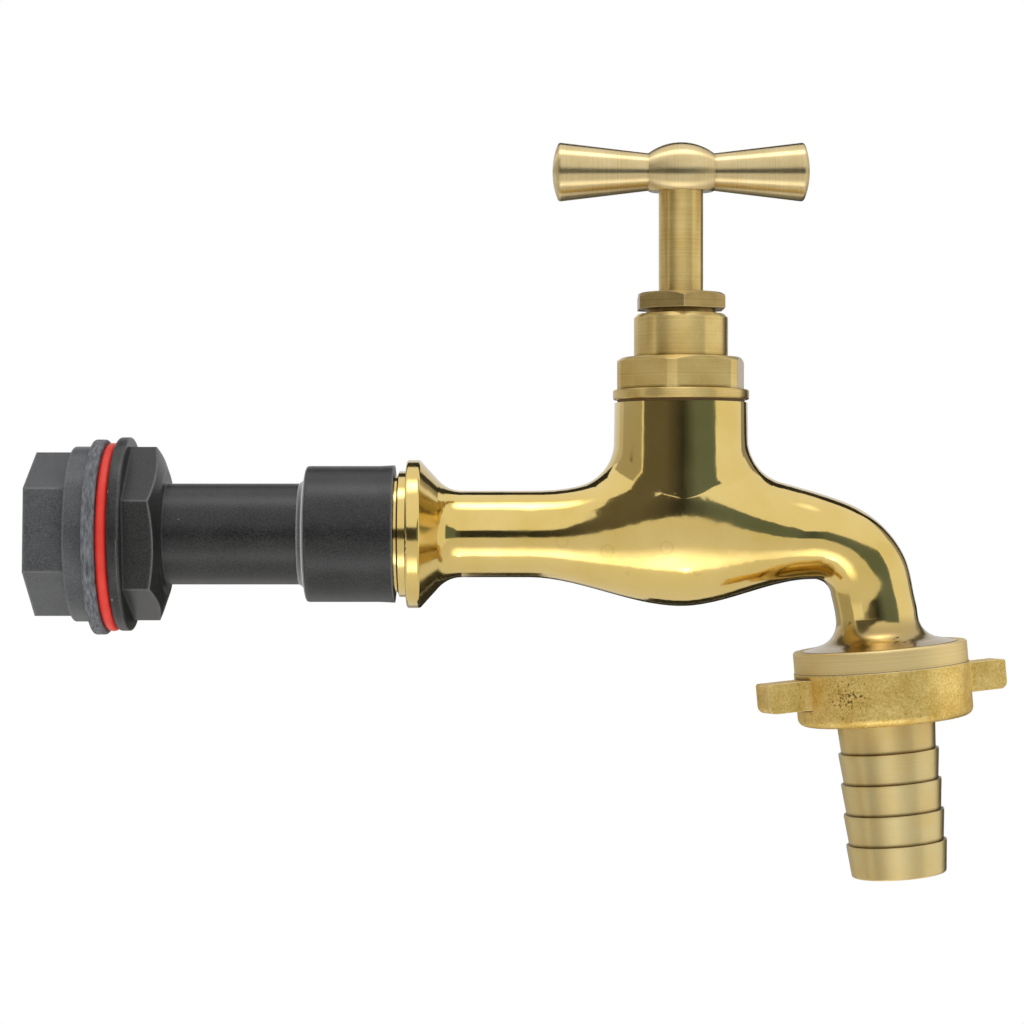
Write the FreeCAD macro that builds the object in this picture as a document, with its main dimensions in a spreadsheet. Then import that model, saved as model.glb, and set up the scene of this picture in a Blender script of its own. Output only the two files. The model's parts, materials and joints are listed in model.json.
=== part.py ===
import FreeCAD, Part
import math
import os
import Sketcher
from collections import namedtuple
from FreeCAD import Placement, Rotation, Vector

# Water butt tap: a brass bib tap with a tee handle and a hose union, screwed into a
# plastic tank connector. The inlet axis is X, pointing from the tank to the tap. The
# origin is on that axis, on the sealing plane where the tank wall is clamped. Z is up.

doc = FreeCAD.newDocument("water_butt_tap")
sheet = doc.addObject("Spreadsheet::Sheet", "Sizes")

SIZES = (
    # Room between pieces
    ("thread_gap", 0.1, "between a male and a female thread, on the radius"),
    ("running_gap", 0.1, "round the spindle and the jumper, on the radius"),
    ("loose_gap", 0.4, "between faces that only pass each other"),
    # Tank end
    ("tank_thread_dia", 20.9, "half inch pipe spigot over its thread"),
    ("spigot_reach", 13.0, "spigot past the sealing plane, into the tank"),
    ("connector_bore_dia", 14.0, "waterway through the connector"),
    ("seal_dia", 37.6, "red sealing washer"),
    ("seal_thick", 2.3, "red sealing washer"),
    ("seal_round", 1.0, "red sealing washer's edges"),
    ("clamp_washer_dia", 39.0, "black clamping washer"),
    ("clamp_washer_thick", 2.5, "black clamping washer"),
    ("clamp_washer_round", 0.5, "black clamping washer's edges"),
    ("washer_sag", 0.6, "loose washers hang that much low on the spigot"),
    ("backnut_flats", 28.4, "across the backnut's flats"),
    ("backnut_hex_length", 8.1, "along the axis"),
    ("backnut_flange_dia", 35.0, "backnut's round foot"),
    ("backnut_flange_thick", 4.0, "backnut's round foot"),
    ("backnut_edge", 0.3, "edge of the backnut's foot"),
    ("backnut_turn", 3.6, "degrees the front flat leans up"),
    # Plastic connector
    ("flange_dia", 38.7, "outer flange that faces the tank"),
    ("flange_thick", 2.5, "outer flange that faces the tank"),
    ("connector_flats", 30.4, "across the connector's flats"),
    ("connector_hex_length", 7.0, "along the axis"),
    ("connector_turn", 8.0, "degrees the front flat leans down"),
    ("tube_dia", 20.2, "plain tube outside"),
    ("tube_length", 27.3, "from the hexagon to the socket"),
    ("socket_dia", 27.2, "socket outside"),
    ("socket_length", 18.2, "socket outside"),
    ("socket_depth", 15.0, "threaded depth of the socket"),
    ("socket_round", 0.6, "socket's corner over the shoulder"),
    ("shoulder_lean", 0.7, "steep shoulder from the tube up to the socket, along the axis"),
    ("mouth_dia", 27.5, "socket's slightly belled mouth"),
    ("mouth_length", 3.0, "socket's slightly belled mouth"),
    ("grip_cone_dia", 25.2, "flat end of the hexagon inside its chamfer"),
    ("moulded_round", 0.8, "rounded edges of the mouldings"),
    ("root_round", 0.7, "tube's root at the socket's shoulder"),
    # Tap inlet
    ("inlet_thread_dia", 20.8, "half inch pipe tail over its thread"),
    ("inlet_tail_length", 14.0, "tail inside the socket"),
    ("mouth_gap", 0.1, "between the socket's mouth and the step"),
    ("ring_dia", 25.2, "turned ring before the collar"),
    ("ring_width", 1.8, "turned ring before the collar"),
    ("ring_chamfer", 0.35, "turned ring's slope down to the step"),
    ("step_dia", 23.3, "last turn of the thread, seen beside the socket"),
    ("step_width", 0.5, "last turn of the thread, seen beside the socket"),
    ("collar_dia", 29.6, "collar"),
    ("collar_width", 2.65, "collar's rim"),
    ("collar_cone_length", 5.55, "slope from the rim to the neck"),
    ("collar_round", 6.2, "hollow where the slope meets the neck"),
    ("neck_run", 3.1, "neck turned together with the collar"),
    ("edge_round", 0.5, "worn edges of the brass"),
    # Casting
    ("neck_dia", 17.3, "neck between the collar and the valve"),
    ("valve_reach", 57.2, "from the socket's mouth to the valve's axis"),
    ("swell_length", 30.5, "from the plain neck to the valve's axis"),
    ("bulb_drop", 14.4, "belly below the inlet axis"),
    ("bulb_rise", 16.0, "belly's top, inside the column"),
    ("bulb_crown", 4.0, "crown over that top, inside the column"),
    ("bulb_width", 27.26, "belly from front to back"),
    ("bulb_widest", 6.0, "belly's widest line over the inlet axis"),
    ("column_dia", 26.6, "column at its top"),
    ("column_taper", 0.6, "column's foot is that much wider"),
    ("column_top", 26.2, "column's rim above the inlet axis"),
    ("column_fillet", 9.0, "blend between the column and the pipe"),
    ("spout_dia", 16.2, "spout round the elbow"),
    ("elbow_reach", 26.5, "from the valve's axis to the elbow's centre"),
    ("elbow_drop", 12.65, "elbow's centre below the inlet axis"),
    ("elbow_radius", 11.75, "elbow's middle line"),
    ("elbow_swell", 1.3, "spout is that much higher where the elbow starts"),
    ("elbow_spread", 3.4, "spout is that much broader where the elbow starts"),
    ("outlet_tilt", 5.0, "degrees the outlet leans out from the vertical"),
    ("outlet_reach", 39.67, "from the valve's axis to the union nut's rim"),
    ("outlet_fall", 22.29, "union nut's rim below the inlet axis"),
    ("outlet_neck_dia", 16.2, "spout where the flare starts"),
    ("flare_dia", 30.6, "flare under the spout"),
    ("flare_height", 1.6, "flare's slope"),
    ("flare_round", 5.0, "hollow where the flare leaves the spout"),
    ("flare_run", 4.2, "spout turned together with the flare"),
    # Waterway
    ("inlet_bore_dia", 12.0, "bore of the tail and neck"),
    ("sloping_bore_dia", 9.6, "sloping bore under the seat"),
    ("sloping_bore_drop", 5.8, "that bore's fall below the inlet axis"),
    ("sloping_bore_start", 26.5, "that bore's start before the valve's axis"),
    ("seat_bore_dia", 12.0, "hole in the valve seat"),
    ("seat_chamber_drop", 9.5, "lower chamber's floor below the inlet axis"),
    ("seat_lip_dia", 15.0, "raised seat's outside"),
    ("seat_lip_height", 1.5, "raised seat over the chamber's floor"),
    ("seat_height", 4.5, "seat's face over the inlet axis"),
    ("outlet_bore_dia", 10.8, "bore of the spout"),
    ("outlet_bore_slope", 20.0, "degrees that bore falls from the chamber to the elbow"),
    # Head of the valve
    ("bonnet_thread_dia", 21.0, "bonnet's thread in the column"),
    ("bonnet_tail_length", 9.0, "bonnet's thread below the washer"),
    ("bonnet_washer_thick", 0.6, "fibre washer"),
    ("bonnet_washer_dia", 25.4, "fibre washer"),
    ("bonnet_flange_dia", 27.2, "bonnet's flange"),
    ("bonnet_flange_thick", 2.0, "bonnet's flange"),
    ("bonnet_flats", 24.0, "across the bonnet's flats"),
    ("bonnet_corner_dia", 26.6, "bonnet's corners are turned to this"),
    ("bonnet_hex_height", 6.4, "bonnet's hexagon"),
    ("bonnet_turn", 11.5, "degrees its front corner stands to the left"),
    ("bonnet_neck_dia", 18.8, "round neck over the hexagon"),
    ("bonnet_neck_height", 8.7, "round neck over the hexagon"),
    ("turned_chamfer", 0.75, "chamfers left by the lathe"),
    ("gland_thread_dia", 14.0, "gland nut's thread in the bonnet"),
    ("gland_box_depth", 7.0, "stuffing box below the neck's top"),
    ("gland_lip", 1.0, "thread showing under the gland nut"),
    ("gland_flats", 17.0, "across the gland nut's flats"),
    ("gland_head_height", 3.2, "gland nut's hexagon"),
    ("gland_stem_length", 5.0, "gland nut's thread below the hexagon"),
    ("web_thick", 2.0, "bonnet's wall under the stuffing box"),
    # Spindle, handle and jumper
    ("spindle_dia", 8.9, "plain spindle"),
    ("spindle_thread_dia", 12.0, "spindle's lifting thread"),
    ("spindle_thread_length", 14.0, "spindle's lifting thread"),
    ("spindle_foot_dia", 11.0, "plain foot under that thread"),
    ("spindle_foot_length", 4.5, "plain foot under that thread"),
    ("tenon_dia", 6.0, "spindle's end inside the handle"),
    ("handle_height", 24.3, "handle's axis over the gland nut"),
    ("handle_length", 51.4, "tip to tip"),
    ("handle_end_dia", 11.8, "arms at their tips"),
    ("handle_waist_dia", 7.5, "arms at the boss"),
    ("handle_tip_dome", 1.2, "height of the tips' domed ends"),
    ("handle_tip_round", 0.7, "rounded rims of the tips"),
    ("boss_dia", 11.9, "barrel-shaped boss"),
    ("boss_length", 13.2, "barrel-shaped boss"),
    ("boss_flat", 3.9, "flat under the boss, below the handle's axis"),
    ("jumper_dia", 15.0, "jumper's plate"),
    ("jumper_thick", 2.5, "jumper's plate"),
    ("jumper_stem_dia", 5.8, "jumper's stem in the spindle"),
    ("jumper_stem_length", 7.0, "jumper's stem in the spindle"),
    ("jumper_stud_dia", 4.0, "threaded stud under the plate"),
    ("jumper_washer_dia", 14.0, "rubber washer on the seat"),
    ("jumper_washer_thick", 3.0, "rubber washer on the seat"),
    ("jumper_nut_flats", 7.0, "nut under the rubber washer"),
    ("jumper_nut_height", 2.4, "nut under the rubber washer"),
    # Hose union
    ("union_thread_dia", 26.4, "three quarter inch thread under the flare"),
    ("union_spigot_length", 8.4, "from the nut's rim to the spigot's end"),
    ("union_nut_dia", 34.9, "union nut outside"),
    ("union_nut_height", 14.9, "union nut outside"),
    ("union_nut_turn", 17.0, "degrees the wings stand off the view"),
    ("union_rim_dia", 32.0, "countersink at the nut's rim"),
    ("union_rim_depth", 2.5, "countersink at the nut's rim"),
    ("union_lip_thick", 2.5, "inner lip that holds the tail"),
    ("union_foot_round", 1.6, "rounded lower edge of the nut"),
    ("turned_band", 4.3, "band that the lathe has smoothed"),
    ("turned_cut", 0.15, "that band's depth of cut, on the radius"),
    ("wing_span", 52.0, "over both wings"),
    ("wing_width", 6.0, "wing across"),
    ("wing_height", 5.9, "wing along the axis"),
    ("wing_top", 5.2, "wing's top below the nut's rim"),
    ("wing_round", 1.5, "wing's lower corners"),
    ("wing_root", 1.6, "hollow where a wing leaves the nut"),
    ("union_washer_thick", 2.0, "rubber washer in the union"),
    ("tail_head_thick", 2.0, "hose tail's head"),
    ("hose_dia", 19.96, "hose tail over its barbs"),
    ("barb_root_dia", 18.8, "hose tail between its barbs"),
    ("barb_pitch", 6.1, "from barb to barb"),
    ("barb_land", 0.5, "short straight top of a barb"),
    ("first_barb", 6.15, "from the nut to the first barb"),
    ("tail_end", 6.5, "from the last barb to the end"),
    ("tail_bore_dia", 14.4, "bore of the hose tail"),
)
BARBS = 4
# Evenly spread sections of the casting, about three millimetres apart
NECK_STEPS = 6
SWELL_STEPS = 12
SHOULDER_STEPS = 10
ELBOW_STEPS = 6
# How fast the crown fades along the pipe, and the extra height at the elbow's start
CROWN_FADE = 4
SWELL_FADE = 8
ROOT_OF_THREE = math.sqrt(3.0)

for row, (alias, number, note) in enumerate(SIZES, start=1):
    sheet.set(f"A{row}", alias)
    sheet.set(f"B{row}", str(number))
    sheet.set(f"C{row}", note)
    sheet.setAlias(f"B{row}", alias)
doc.recompute()


def size(name):
    """Name a cell of the sheet in an expression."""
    return f"Sizes.{name}"


def half(name):
    """Radius from a diameter of the sheet."""
    return f"Sizes.{name} / 2"


def total(*parts):
    """Sum of cells or expressions."""
    return "(" + " + ".join(parts) + ")"


def value(expression):
    """Number that an expression has now."""
    result = sheet.evalExpression(expression)
    return float(getattr(result, "Value", result))


# Places along the three axes, as expressions on the sheet
SOCKET_START = total(size("seal_thick"), size("flange_thick"), size("connector_hex_length"),
                     size("tube_length"))
MOUTH = total(SOCKET_START, size("socket_length"))
VALVE_X = total(MOUTH, size("valve_reach"))
BONNET_SEAT = total(size("column_top"), size("bonnet_washer_thick"))
HEX_FOOT = total(BONNET_SEAT, size("bonnet_flange_thick"))
HEX_TOP = total(HEX_FOOT, size("bonnet_hex_height"))
NECK_TOP = total(HEX_TOP, size("bonnet_neck_height"))
BOX_FLOOR = f"({NECK_TOP} - {size('gland_box_depth')})"
GLAND_HEAD = total(NECK_TOP, size("gland_lip"))
GLAND_TOP = total(GLAND_HEAD, size("gland_head_height"))
GLAND_STEM_END = f"({GLAND_HEAD} - {size('gland_stem_length')})"
HANDLE_Z = total(GLAND_TOP, size("handle_height"))
PLATE_FOOT = total(size("seat_height"), size("jumper_washer_thick"))
SPINDLE_FOOT = total(PLATE_FOOT, size("jumper_thick"))
OUTLET_TURN = f"(180 - {size('outlet_tilt')})"
ELBOW_X = total(VALVE_X, size("elbow_reach"))
ELBOW_WIDTH = f"(({size('spout_dia')} + {size('elbow_spread')}) / 2)"
ELBOW_Z = f"(0 - {size('elbow_drop')})"
ELBOW_END_Z = f"({ELBOW_Z} + {size('elbow_radius')} * sin({size('outlet_tilt')}))"
OUTLET_X = total(VALVE_X, size("outlet_reach"))
OUTLET_Z = f"(0 - {size('outlet_fall')})"
UNION_LIP = f"({size('union_nut_height')} - {size('union_lip_thick')})"


def bind(thing, **expressions):
    """Bind properties of an object to expressions on the sheet."""
    for name, expression in expressions.items():
        thing.setExpression(name, expression)


def stand(thing, turn_axis, turn, x, y, z):
    """Place an object: turned about an axis by an angle, then moved."""
    thing.Placement = Placement(Vector(), Rotation(turn_axis, value(turn)))
    if turn != "0":
        thing.setExpression("Placement.Rotation.Angle", turn)
    for direction, expression in (("x", x), ("y", y), ("z", z)):
        if expression != "0":
            thing.setExpression(f"Placement.Base.{direction}", expression)


ACROSS = Vector(0, 1, 0)


def on_inlet_axis(thing, start):
    """Lay a piece's own Z along the inlet axis, from a place on it."""
    stand(thing, ACROSS, "90", start, "0", "0")


def on_valve_axis(thing, start):
    """Stand a piece on the valve's axis, from a height on it."""
    stand(thing, ACROSS, "0", VALVE_X, "0", start)


def on_outlet_axis(thing):
    """Hang a piece from the union nut's rim, its own Z down the outlet."""
    stand(thing, ACROSS, OUTLET_TURN, OUTLET_X, "0", OUTLET_Z)


def new_body(name):
    """Start a body whose label names its node."""
    body = doc.addObject("PartDesign::Body", name)
    body.Label = name
    return body


def new_sketch(body, name, role, height="0"):
    """Put a sketch on one of the body's own planes, raised by a height."""
    sketch = body.newObject("Sketcher::SketchObject", name)
    planes = [plane for plane in body.Origin.OriginFeatures if plane.Role == role]
    sketch.AttachmentSupport = (planes[0], [""])
    sketch.MapMode = "FlatFace"
    if height != "0":
        sketch.setExpression("AttachmentOffset.Base.z", height)
    doc.recompute()
    return sketch


# What the sketcher calls the origin, its two axes and the two ends of a line
ORIGIN, HORIZONTAL_AXIS, VERTICAL_AXIS = -1, -1, -2
START, END = range(1, 3)


def hold_point(sketch, geometry, end, across, along):
    """Fix a point of the sketch by its two expressions."""
    for kind, axis, expression in (("DistanceX", VERTICAL_AXIS, across),
                                   ("DistanceY", HORIZONTAL_AXIS, along)):
        if expression == "0":
            sketch.addConstraint(Sketcher.Constraint("PointOnObject", geometry, end, axis))
            continue
        datum = Sketcher.Constraint(kind, ORIGIN, START, geometry, end, value(expression))
        index = sketch.addConstraint(datum)
        sketch.setExpression(f"Constraints[{index}]", expression)


def corner_points(corners):
    """Tangent points and turning sense at each corner of an outline."""
    places = [Vector(value(corner[0]), value(corner[1]), 0) for corner in corners]
    found = []
    for index, corner in enumerate(corners):
        place = places[index]
        after = places[(index + 1) % len(corners)]
        incoming = (place - places[index - 1]).normalize()
        outgoing = (after - place).normalize()
        radius = value(corner[2]) if len(corner) > 2 else 0.0
        reach = radius * math.tan(incoming.getAngle(outgoing) / 2)
        left = incoming.cross(outgoing).z > 0
        found.append((place, place - incoming * reach, place + outgoing * reach, radius, left, incoming))
    return found


def draw_outline(sketch, corners, bulges=None):
    """Draw a closed outline. A corner is (across, along) or (across, along, round).

    A side named in bulges, by the number of the corner before it, is an arc of that radius.
    """
    bulges = bulges or {}
    points = corner_points(corners)
    sides = []
    for index, point in enumerate(points):
        begin = point[2]
        finish = points[(index + 1) % len(points)][1]
        side = Part.LineSegment(begin, finish)
        if index in bulges:
            chord = finish - begin
            outward = Vector(-chord.y, chord.x, 0).normalize()
            radius = value(bulges[index])
            sagitta = radius - math.sqrt(radius ** 2 - (chord.Length / 2) ** 2)
            side = Part.Arc(begin, begin + chord * 0.5 - outward * sagitta, finish)
        sides.append(sketch.addGeometry(side, False))
    for index, (place, tip, tail, radius, left, incoming) in enumerate(points):
        before, after = sides[index - 1], sides[index]
        if radius == 0.0:
            sketch.addConstraint(Sketcher.Constraint("Coincident", before, END, after, START))
            hold_point(sketch, after, START, corners[index][0], corners[index][1])
            continue
        normal = Vector(-incoming.y, incoming.x, 0) * (1 if left else -1)
        centre = tip + normal * radius
        first, last = (tip, tail) if left else (tail, tip)
        start_angle = math.atan2(first.y - centre.y, first.x - centre.x)
        end_angle = math.atan2(last.y - centre.y, last.x - centre.x)
        circle = Part.Circle(centre, Vector(0, 0, 1), radius)
        arc = sketch.addGeometry(Part.ArcOfCircle(circle, start_angle, end_angle), False)
        near, far = (START, END) if left else (END, START)
        sketch.addConstraint(Sketcher.Constraint("Tangent", before, END, arc, near))
        sketch.addConstraint(Sketcher.Constraint("Tangent", arc, far, after, START))
        size_of_arc = sketch.addConstraint(Sketcher.Constraint("Radius", arc, radius))
        sketch.setExpression(f"Constraints[{size_of_arc}]", corners[index][2])
        corner = sketch.addGeometry(Part.Point(place), True)
        sketch.addConstraint(Sketcher.Constraint("PointOnObject", corner, START, before))
        sketch.addConstraint(Sketcher.Constraint("PointOnObject", corner, START, after))
        hold_point(sketch, corner, START, corners[index][0], corners[index][1])
    for corner, bulge in bulges.items():
        index = sketch.addConstraint(Sketcher.Constraint("Radius", sides[corner], value(bulge)))
        sketch.setExpression(f"Constraints[{index}]", bulge)
    doc.recompute()


def turn(body, name, corners, kind="PartDesign::Revolution", bulges=None):
    """Turn a profile of (radius, along) corners about the body's own Z, or cut it away."""
    sketch = new_sketch(body, name + "_profile", "XZ_Plane")
    draw_outline(sketch, corners, bulges)
    feature = body.newObject(kind, name)
    feature.Profile = sketch
    feature.ReferenceAxis = (sketch, ["V_Axis"])
    feature.Angle = 360
    doc.recompute()
    return feature


def hexagon(body, name, flats, first_corner, foot, height):
    """Pad a hexagon across its flats, one corner at an angle from the body's own X."""
    sketch = new_sketch(body, name + "_outline", "XY_Plane", foot)
    corners = []
    for corner in range(6):
        angle = f"({first_corner} + {60 * corner})"
        radius = f"{size(flats)} / {ROOT_OF_THREE:.6f}"
        corners.append((f"{radius} * cos{angle}", f"{radius} * sin{angle}"))
    draw_outline(sketch, corners)
    pad = body.newObject("PartDesign::Pad", name)
    pad.Profile = sketch
    pad.setExpression("Length", height)
    doc.recompute()
    return pad


def primitive(kind, name, **expressions):
    """Add a Part primitive with its sizes bound to the sheet."""
    thing = doc.addObject(kind, name)
    bind(thing, **expressions)
    return thing


def tank_backnut():
    """Plastic nut with a round foot that clamps the tank wall from inside."""
    body = new_body("tank_backnut")
    hole = total(half("tank_thread_dia"), size("thread_gap"))
    foot = size("backnut_flange_thick")
    end = total(foot, size("backnut_hex_length"))
    flange = half("backnut_flange_dia")
    turn(body, "foot", [
        (hole, "0"), (flange, "0"), (flange, foot, size("backnut_edge")), (hole, foot)])
    hexagon(body, "grip", "backnut_flats", f"({size('backnut_turn')} - 60)", foot,
            size("backnut_hex_length"))
    turn(body, "thread_bore", [
        ("0", "0"), (hole, "0"), (hole, f"{end} - {size('moulded_round')}"),
        (total(hole, size("moulded_round")), end), ("0", end)], "PartDesign::Groove")
    # The nut's own Z points into the tank
    stand(body, ACROSS, "270", f"0 - {size('clamp_washer_thick')}", "0", "0")
    return body


def flat_washer(name, outside, hole, thick, edge):
    """Washer with rounded outer edges."""
    body = new_body(name)
    turn(body, "ring", [
        (hole, "0"), (half(outside), "0", edge), (half(outside), thick, edge), (hole, thick)])
    return body


def tank_washers():
    """Black clamping washer in the tank and red sealing washer outside it."""
    hole = total(half("tank_thread_dia"), size("thread_gap"), size("washer_sag"))
    low = f"0 - {size('washer_sag')}"
    clamp = flat_washer("tank_clamp_washer", "clamp_washer_dia", hole, size("clamp_washer_thick"),
                        size("clamp_washer_round"))
    stand(clamp, ACROSS, "90", f"0 - {size('clamp_washer_thick')}", "0", low)
    seal = flat_washer("red_sealing_washer", "seal_dia", hole, size("seal_thick"),
                       size("seal_round"))
    stand(seal, ACROSS, "90", "0", "0", low)
    return [clamp, seal]


def tank_connector():
    """One plastic moulding: threaded spigot, flange, hexagon, tube and threaded socket."""
    body = new_body("tank_connector")
    bore = half("connector_bore_dia")
    spigot = half("tank_thread_dia")
    flange = half("flange_dia")
    tube = half("tube_dia")
    socket = half("socket_dia")
    mouth = half("mouth_dia")
    thread = total(half("inlet_thread_dia"), size("thread_gap"))
    tip = f"(0 - {size('spigot_reach')})"
    face = size("seal_thick")
    back = total(face, size("flange_thick"))
    hex_end = total(back, size("connector_hex_length"))
    socket_floor = f"({MOUTH} - {size('socket_depth')})"
    turn(body, "moulding", [
        (bore, tip), (spigot, tip, size("moulded_round")), (spigot, face),
        (flange, face, size("moulded_round")), (flange, back, f"{size('moulded_round')} / 2"),
        (tube, back), (tube, SOCKET_START, size("root_round")),
        (socket, f"{SOCKET_START} + {size('shoulder_lean')}", size("socket_round")),
        (socket, f"{MOUTH} - {size('mouth_length')}"), (mouth, MOUTH),
        (total(thread, size("moulded_round")), MOUTH),
        (thread, f"{MOUTH} - {size('moulded_round')}"),
        (thread, socket_floor), (bore, socket_floor)])
    hexagon(body, "grip", "connector_flats", f"({size('connector_turn')} - 60)", back,
            size("connector_hex_length"))
    corner = f"{size('connector_flats')} / {ROOT_OF_THREE:.6f}"
    inner = half("grip_cone_dia")
    outer = f"({corner} + {size('moulded_round')})"
    slope = f"({outer} - {inner}) * tan(20)"
    turn(body, "grip_chamfer", [
        (inner, hex_end), (outer, f"{hex_end} - {slope}"), (outer, hex_end)], "PartDesign::Groove")
    turn(body, "waterway", [
        ("0", tip), (bore, tip), (bore, MOUTH), ("0", MOUTH)], "PartDesign::Groove")
    on_inlet_axis(body, "0")
    return body


Section = namedtuple("Section", "centre forward poles")


def pipe_section(x, z, lean, rise, drop, half_width):
    """Egg-shaped section across the water's way: two half ellipses that meet where it is widest."""
    angle = math.radians(value(lean))
    upward = Vector(math.sin(angle), 0, math.cos(angle))
    over = upward * value(rise)
    under = upward * -value(drop)
    wide = ACROSS * value(half_width)
    centre = Vector(value(x), 0, value(z))
    ring = (under, under + wide, wide, over + wide, over, over - wide, wide * -1, under - wide, under)
    forward = Vector(math.cos(angle), 0, -math.sin(angle))
    return Section(centre, forward, [centre + spoke for spoke in ring])


def smooth(along):
    """Ease from nought to one, level at both ends."""
    return along ** 2 * (3 - 2 * along)


def swell_sections():
    """Sections from the collar along the neck to the belly at the valve's axis."""
    neck = half("neck_dia")
    start = total(MOUTH, size("mouth_gap"), size("step_width"), size("ring_width"), size("collar_width"),
                  size("collar_cone_length"), size("neck_run"))
    swell_start = f"({VALVE_X} - {size('swell_length')})"
    sections = []
    for step in range(NECK_STEPS):
        place = f"{start} + ({swell_start} - {start}) * {step / NECK_STEPS:.6f}"
        sections.append(pipe_section(place, "0", "0", neck, neck, neck))
    for step in range(SWELL_STEPS + 1):
        along = step / SWELL_STEPS
        ease = smooth(along)
        place = f"{VALVE_X} - {size('swell_length')} * {1 - along:.4f}"
        crown = f"{size('bulb_crown')} * {ease ** CROWN_FADE:.6f}"
        top = f"({neck} + ({size('bulb_rise')} - {neck}) * {ease ** 1.5:.6f} + {crown})"
        bottom = f"({neck} + ({size('bulb_drop')} - {neck}) * {ease:.6f})"
        width = f"{neck} + ({half('bulb_width')} - {neck}) * {ease ** 1.5:.6f}"
        widest = f"({size('bulb_widest')} * {ease ** 1.5:.6f})"
        sections.append(pipe_section(
            place, widest, "0", f"{top} - {widest}", f"{bottom} + {widest}", width))
    return sections


def shoulder_sections():
    """Sections from the belly down to where the elbow starts."""
    spout = half("spout_dia")
    rise = f"({ELBOW_Z} + {size('elbow_radius')} + {spout} + {size('elbow_swell')})"
    drop = f"({spout} - {ELBOW_Z} - {size('elbow_radius')})"
    sections = []
    for step in range(1, SHOULDER_STEPS):
        along = step / SHOULDER_STEPS
        ease = smooth(along)
        place = f"{VALVE_X} + {size('elbow_reach')} * {along:.6f}"
        crown = f"{size('bulb_crown')} * {(1 - ease) ** CROWN_FADE:.6f}"
        top = f"({size('bulb_rise')} + ({rise} - {size('bulb_rise')}) * {along:.6f} + {crown})"
        bottom = f"({size('bulb_drop')} + ({drop} - {size('bulb_drop')}) * {ease:.6f})"
        width = f"{half('bulb_width')} + ({ELBOW_WIDTH} - {half('bulb_width')}) * {ease:.6f}"
        level = f"(({rise} - {drop}) / 2)"
        widest = f"({level} + ({size('bulb_widest')} - {level}) * {(1 - ease) ** 1.5:.6f})"
        sections.append(pipe_section(
            place, widest, "0", f"{top} - {widest}", f"{bottom} + {widest}", width))
    return sections


def elbow_sections():
    """Round sections along the elbow, then down to where the flare is turned."""
    spout = half("spout_dia")
    sections = []
    for step in range(ELBOW_STEPS + 1):
        along = step / ELBOW_STEPS
        lean = f"((90 - {size('outlet_tilt')}) * {along:.6f})"
        extra = f"({size('elbow_swell')} / 2 * {(1 - along) ** SWELL_FADE:.6f})"
        middle = total(size("elbow_radius"), extra)
        radius = total(spout, extra)
        width = f"({spout} + ({ELBOW_WIDTH} - {spout}) * {1 - along:.6f})"
        sections.append(pipe_section(
            f"{ELBOW_X} + {middle} * sin{lean}", f"{ELBOW_Z} + {middle} * cos{lean}", lean,
            radius, radius, width))
    run = total(size("flare_height"), size("flare_run"))
    end = half("outlet_neck_dia")
    sections.append(pipe_section(
        f"{OUTLET_X} - {run} * sin({size('outlet_tilt')})",
        f"{OUTLET_Z} + {run} * cos({size('outlet_tilt')})", f"(90 - {size('outlet_tilt')})",
        end, end, end))
    return sections


def skin(sections):
    """Solid whose smooth skin runs through the sections, with a flat face at both ends."""
    stations = [0.0]
    for before, after in zip(sections, sections[1:]):
        stations.append(stations[-1] + before.centre.distanceToPoint(after.centre))
    lines = []
    for places in zip(*[section.poles for section in sections]):
        line = Part.BSplineCurve()
        line.interpolate(Points=list(places), Parameters=stations, InitialTangent=sections[0].forward,
                         FinalTangent=sections[-1].forward, Scale=False)
        lines.append(line)
    weights = [1.0, math.sqrt(0.5)] * 4 + [1.0]
    surface = Part.BSplineSurface()
    surface.buildFromPolesMultsKnots(
        [line.getPoles() for line in lines], [3, 2, 2, 2, 3], lines[0].getMultiplicities(),
        [0, 1, 2, 3, 4], lines[0].getKnots(), False, False, 2, lines[0].Degree,
        [[weight] * lines[0].NbPoles for weight in weights])
    side = surface.toShape()
    rims = [edge for edge in side.Edges if edge.isClosed() and not edge.isSeam(side)]
    shell = Part.makeShell([side] + [Part.Face(Part.Wire([rim])) for rim in rims])
    shell.sewShape()
    solid = Part.makeSolid(Part.Shell(shell.Faces))
    if solid.Volume < 0:
        solid.reverse()
    return solid


def casting():
    """Pipe with its belly and spout, blended into the upright column."""
    sections = swell_sections() + shoulder_sections() + elbow_sections()
    # A ready-made loft overshoots between these sections, so the skin is built from their poles
    pipe = doc.addObject("Part::Feature", "pipe")
    pipe.Shape = skin(sections)
    column = primitive("Part::Cone", "column",
                       Radius1=f"({size('column_dia')} + {size('column_taper')}) / 2",
                       Radius2=half("column_dia"),
                       Height=f"{size('column_top')} - {size('bulb_widest')}")
    on_valve_axis(column, size("bulb_widest"))
    joined = doc.addObject("Part::Fuse", "pipe_and_column")
    joined.Base = pipe
    joined.Tool = column
    doc.recompute()
    radius = value(size("column_fillet"))
    blended = []
    for index, edge in enumerate(joined.Shape.Edges, start=1):
        faces = joined.Shape.ancestorsOfType(edge, Part.Face)
        kinds = {face.Surface.TypeId for face in faces}
        if "Part::GeomCone" in kinds and "Part::GeomBSplineSurface" in kinds:
            blended.append((index, radius, radius))
    fillet = doc.addObject("Part::Fillet", "casting")
    fillet.Base = joined
    fillet.Edges = blended
    doc.recompute()
    return fillet


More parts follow.
